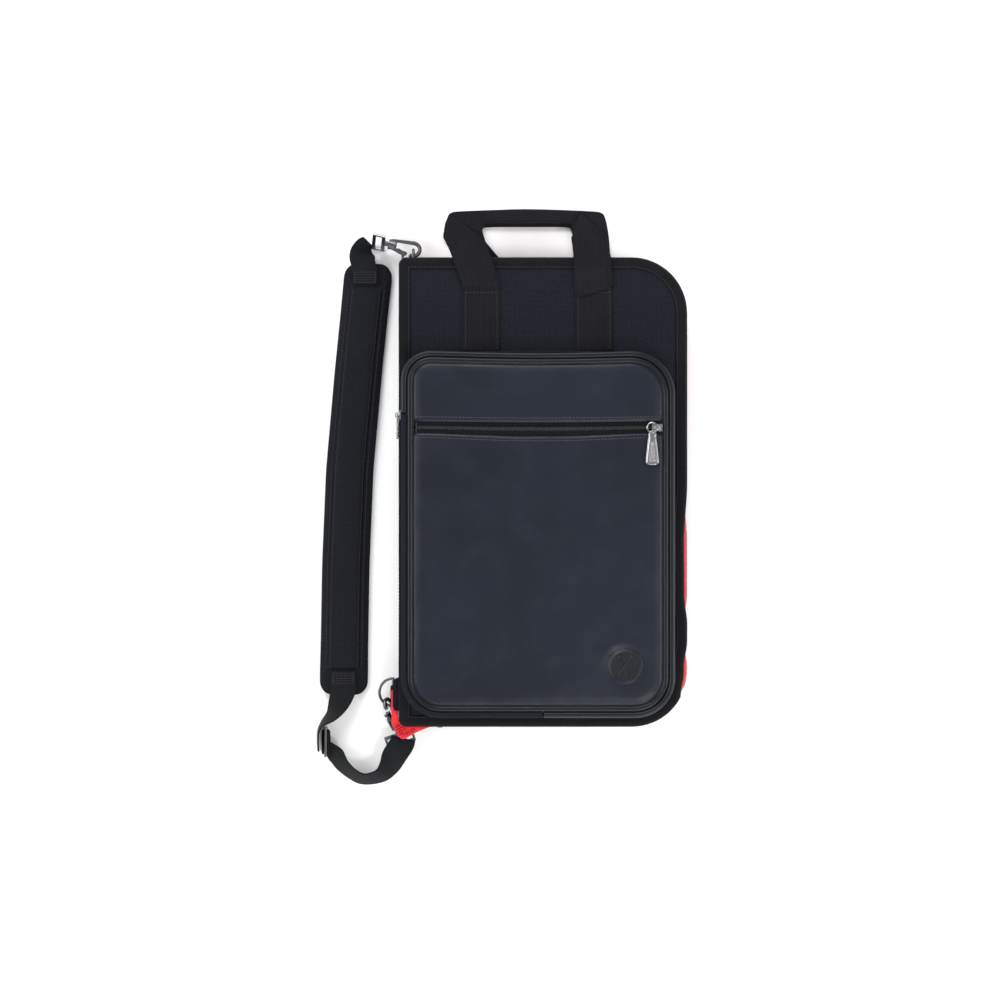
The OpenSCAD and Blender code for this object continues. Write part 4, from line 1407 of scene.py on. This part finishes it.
def route(node, stations):
    """Stations of a webbing's middle line and its tilt, given from its node's lowest corner."""
    low = box(node)[0]
    return [(low[0] + x, low[1] + y, low[2] + z, tilt) for x, y, z, tilt in stations]


UPPER_ROUTE = route("upper_webbing", [(16, 1.4, 9.9, 0), (13.5, 24.4, 9.9, 0), (12, 31.4, 10.4, 22),
                                      (14, 38.9, 11.4, 48), (18.6, 44.4, 11.8, 66)])
PAD_ROUTE = route("pad_webbing", [(27.5, 80, 10.8, 0), (27.5, 62, 10.8, 0), (22.5, 48, 11.7, 30),
                                  (15.5, 36, 12, 60), (6.5, 27.5, 12.5, 80), (2.1, 18, 12.6, 85),
                                  (2.1, 0, 12.6, 85)])
LOWER_ROUTE = route("lower_webbing", [(8.2, 32, 9.4, 43), (11.2, 27.5, 10, 47), (15.7, 21, 10.5, 52),
                                      (24.7, 13, 11.3, 57), (33.7, 8, 11.6, 58), (43.7, 7.4, 11.6, 58),
                                      (55.7, 11.4, 10.5, 50), (63.2, 20, 9, 33)])


def strap_piece(name, stations, nodes=()):
    stations = [row if len(row) == 5 else (*row, strap_w) for row in stations]
    return dress(tube(name, strap_sections(stations, strap_t)), STRAP, "bag_back", nodes)


def tack_box(name, webbing_piece, start, y0, y1):
    """Close rows of stitches that hold a webbing's end to the pad."""
    top = height_finder(webbing_piece, start[2])
    x0, x1 = start[0] - strap_w / 2 + 2, start[0] + strap_w / 2 - 2
    y0, y1 = start[1] + y0, start[1] + y1
    seams = [[(x, y, top(x, y) + 0.1) for x in np.linspace(x0, x1, 8)] for y in np.linspace(y0, y1, 5)]
    seams += [[(x, y, top(x, y) + 0.1) for y in np.linspace(y0, y1, 6)] for x in (x0, x1)]
    sew(name, seams, "bag_back", "webbing", pitch=2.6, length=2.1, width=0.75, height=0.6)


def on_pad(route, pad_top, along):
    """The route's sewn end laid on the pad, with the rest of the route after it."""
    x, y, _, tilt = route[0]
    sewn = [(x, y + step, pad_top(x, y + step) + 1.9, tilt) for step in along]
    return sewn + list(route[1:])


def make_strap(pad_top):
    upper = strap_piece("upper_webbing_strap", on_pad(UPPER_ROUTE, pad_top, (0, 10)), ["upper_webbing"])
    tack_box("upper_strap_tacks", upper, UPPER_ROUTE[0], 1.5, 12)
    x, y = UPPER_ROUTE[0][:2]
    strap_piece("upper_webbing_return", [(x + 0.6, y, z - 2.1, t) for x, y, z, t in UPPER_ROUTE[1:]])
    lower = strap_piece("pad_webbing_strap", on_pad(PAD_ROUTE, pad_top, (0, -9)), ["pad_webbing"])
    tack_box("lower_strap_tacks", lower, PAD_ROUTE[0], -12, -1.5)
    # The loose webbing starts in the adjuster and ends round the lower bar of the hook's eye
    slide = np.mean(box("adjuster"), axis=0)
    start = [(slide[0] + 1.0, slide[1] - 3.0, slide[2], 42, strap_w * 0.55)]
    eye_low, eye_high = box("bottom_eye")
    bar_x, bar_y = (eye_low[0] + eye_high[0]) / 2 + 2.6, eye_low[1] + 9.2
    over = eye_high[2] + 1.3
    end = [(bar_x - 8.0, bar_y - 14.5, over - 0.5, 6), (bar_x - 0.6, bar_y - 3, over, 0),
           (bar_x + 0.4, bar_y + 1.2, over - 0.3, 0), (bar_x + 0.8, bar_y + 2.8, over - 2.4, 0)]
    strap_piece("lower_webbing_strap", start + LOWER_ROUTE + end, ["lower_webbing"])
    folded_tab("adjuster_fold", (), slide, (-1, 0, 0), (0, 1, 0), strap_w, 5, 3.6, body="adjuster")


def folded_tab(name, nodes, centre, out, wide, width, reach, radius=2.2, body="bag_back"):
    """Webbing tab that comes out of the bag, round a ring's bar and back."""
    centre, out, wide = (np.array(v, float) for v in (centre, out, wide))
    up = np.cross(out, wide)
    turn = np.radians(np.arange(0, 181, 20))
    path = [centre - out * reach + up * radius, centre - out * reach * 0.4 + up * radius * 0.95]
    path += [centre + radius * (up * math.cos(a) + out * math.sin(a)) for a in turn]
    path += [centre - out * reach * 0.4 - up * radius * 0.95, centre - out * reach - up * radius]
    normals = np.cross(wide, unit(np.gradient(path, axis=0)))
    half = 0.7
    one_side = [(1, -0.4), (1, 0.4), (0.96, 1), (0, 1.1)]
    outline = [(-1, -0.4), (-0.96, -1), (0, -1.1), (0.96, -1)] + one_side + [(-0.96, 1), (-1, 0.4)]
    sections = [[place + wide * a * (width / 2) + n * b * half for a, b in outline]
                for place, n in zip(path, normals)]
    tab = tube(name, sections)
    modifier(tab, "SUBSURF", levels=1, render_levels=1)
    dress(tab, STRAP, body, nodes)


def make_tabs():
    low, high = box("top_tab")
    bar = ((low[0] + high[0]) / 2, high[1] - 2.3, (low[2] + high[2]) / 2)
    folded_tab("top_tab_webbing", ["top_tab"], bar, (0, 1, 0), (0, 0, 1), high[2] - low[2],
               bar[1] - low[1] + 2)
    low, high = box("bottom_tab")
    bar = (low[0] + 2.3, (low[1] + high[1]) / 2, (low[2] + high[2]) / 2)
    folded_tab("bottom_tab_webbing", ["bottom_tab"], bar, (-1, 0, 0), (0, 1, 0), high[1] - low[1],
               high[0] - bar[0] + 2)


def make_zipper_tail(low, high, z):
    """The curled end of the red zipper, with its two rows of coil."""
    xs = np.linspace(low[0] + 0.4, high[0] - 0.4, 34)
    near, far = np.array([node_span("zipper_tail", 0, x, 1) for x in xs]).T
    soft = np.convolve(np.pad(near, 3, mode="edge"), np.ones(7) / 7, mode="valid")
    rim = np.stack([xs, soft + 0.2], axis=1)
    rows = [(x, y, x, b, z, 0.9) for (x, y), b in zip(rim, far)]
    tape = tube("zipper_tail_tape", band_sections(rows, per_span=3))
    dress(tape, RED_TAPE, "bag_back", ["zipper_tail"])
    ahead = unit(np.gradient(rim, axis=0))
    inward = np.stack([-ahead[:, 1], ahead[:, 0]], axis=1)
    for number, inset in enumerate((2.9, 8.0)):
        line = at_height(rim + inward * inset, z + 1.5)[far - soft > inset + 2.2]
        coil(f"zipper_tail_coil_{number + 1}", line, 2.8, 0, 1.5, (4.8, 1.3, 3.2), RED_COIL, "bag_back",
             lying=True)


def make_corner():
    """The red zipper end that curls out round the spine's foot, and the black flap over its start."""
    low, high = box("zipper_tail")
    z = high[2] - 0.6
    make_zipper_tail(low, high, z)
    tab_high = box("bottom_tab")[1]
    strip = [(low[0], y, low[0] + 2.2, y, z + 0.4, 0.9) for y in np.linspace(high[1] - 2, tab_high[1] - 4, 6)]
    dress(tube("zipper_tail_edge", band_sections(strip)), RED_TAPE, "bag_back")
    edge_x = body_low[0]
    flap_y0, flap_y1 = high[1] - 0.5, tab_high[1] + 9
    flap = []
    for y in np.linspace(flap_y0, flap_y1, 12):
        end = min(y - flap_y0, flap_y1 - y)
        reach = (edge_x - low[0] - 1.6) * math.sqrt(1 - (1 - min(1, (end + 0.4) / 6)) ** 2)
        flap.append((edge_x - reach, y, edge_x + 2.5, y, z + 2.9, 1.3))
    dress(tube("corner_flap_fabric", band_sections(flap, per_span=3)), NYLON, "bag_back")


# ---- metal ----------------------------------------------------------------------------------

def polish(name, material, edge):
    """Rounds a CAD node's edges and gives it its plating, leaving its mesh alone."""
    node = NODES[name]
    modifier(node, "WELD", merge_threshold=0.002 * MM)
    modifier(node, "BEVEL", width=edge * MM, segments=3, limit_method="ANGLE", angle_limit=math.radians(35))
    node.data.materials.clear()
    node.data.materials.append(material)
    node.data.polygons.foreach_set("use_smooth", [True] * len(node.data.polygons))
    modifier(node, "WEIGHTED_NORMAL", keep_sharp=False)


# Half widths of a puller at its shoulders and at its end, and how far down its shoulders are
PULLER = (4.4, 6.6, 7.0)


def puller_plate(length, place):
    """Plate of a puller with a raised rim, given in its own plane and set by place."""
    top_w, low_w, start = PULLER
    right = [(low_w - 3.2, -length + 0.2), (low_w - 1.1, 1.3 - length), (low_w, 4 - length), (top_w, -start),
             (top_w - 0.5, -start + 2.2), (top_w - 0.3, -1.8), (top_w - 1.2, 0.6), (2.2, 1.7)]
    left = [(-x, y) for x, y in right[::-1]]
    edge = left[4:] + [(0, -length - 0.3)] + right + [(0, 2.1)] + left[:4]
    outline = smooth_path(edge + edge[:1], 4)[:-1]
    ahead = np.roll(outline, -1, axis=0) - np.roll(outline, 1, axis=0)
    inward = unit(np.stack([-ahead[:, 1], ahead[:, 0]], axis=1))
    below = [(1.7, -0.45), (1.3, -0.95), (0.45, -1.0), (0, -0.6)]
    steps = below + [(inset, -h) for inset, h in below[::-1]]
    rows = np.array([[(*(p + i * inset), h) for inset, h in steps] for p, i in zip(outline, inward)])
    n, m = rows.shape[:2]
    _, _, faces = grid_faces(n, m, True, False)
    ends = [[k * m for k in range(n)], [k * m + m - 1 for k in range(n)]]
    return mesh_piece("plate", place(rows.reshape(-1, 3)), faces.tolist() + ends)


def make_puller(name, node, eye, down, wide, length):
    """Zipper puller: a plate with a raised rim and a cross-ribbed field, hung from a round eye."""
    eye, down, wide = (np.array(v, float) for v in (eye, down, wide))
    face = np.cross(wide, -down)
    top_w, low_w, start = PULLER

    def place(points):
        points = np.asarray(points, float)
        return eye + points[..., 0:1] * wide - points[..., 1:2] * down + points[..., 2:3] * face

    parts = [puller_plate(length, place)]
    for y in np.arange(-length + 3.6, -start - 1.5, 2.1):
        half = np.interp(y, [-length, -start], [low_w, top_w]) - 2.2
        for slope in (-1, 1):
            a, b = np.array([-half, y - slope * 1.0, 0.5]), np.array([half, y + slope * 1.0, 0.5])
            parts.append(thread_piece("rib", place([(a + b) / 2]), place([b]) - place([a]), [face],
                                      np.linalg.norm(b - a), 0.6, 0.7))
    puller = join(name, parts)
    dress(puller, SILVER, node, [node])
    modifier(puller, "SUBSURF", levels=1, render_levels=1)


def make_metal():
    for name in ("top_ring", "bottom_ring", "top_eye", "bottom_eye"):
        polish(name, GUNMETAL, edge=0.9 if "eye" in name else 0.3)
    for name in ("top_hook", "top_gate", "bottom_hook", "bottom_gate", "adjuster"):
        polish(name, GUNMETAL, edge=0.45)
    for zipper in ("slash", "pocket", "main"):
        polish(f"{zipper}_slider", SILVER, edge=0.35)
        polish(f"{zipper}_link", SILVER, edge=0.2)
    eye_back = 2.3
    for zipper, down, wide in (("slash", (0, -1, 0), (1, 0, 0)), ("pocket", (0, -1, 0), (0, 0, 1)),
                               ("main", (1, 0, 0), (0, 0, 1))):
        low, high = box(f"{zipper}_puller")
        axis = int(np.argmax(np.abs(down)))
        eye = (low + high) / 2
        eye[axis] = high[axis] - eye_back if down[axis] < 0 else low[axis] + eye_back
        length = (high[axis] - low[axis]) - eye_back
        make_puller(f"{zipper}_puller_plate", f"{zipper}_puller", eye, down, wide, length)


# ---- the whole scene ------------------------------------------------------------------------

make_camera()
make_studio()
make_floor()
make_halves()
make_spine()
make_linings()
make_stick_sleeve()
make_inner_pouch()
make_pocket_walls()
make_piping()
make_leather()
make_slash_zipper()
make_emblem()
make_front_handle()
make_back_handle()
make_strap(make_shoulder_pad())
make_tabs()
make_corner()
make_metal()

bpy.context.view_layer.update()
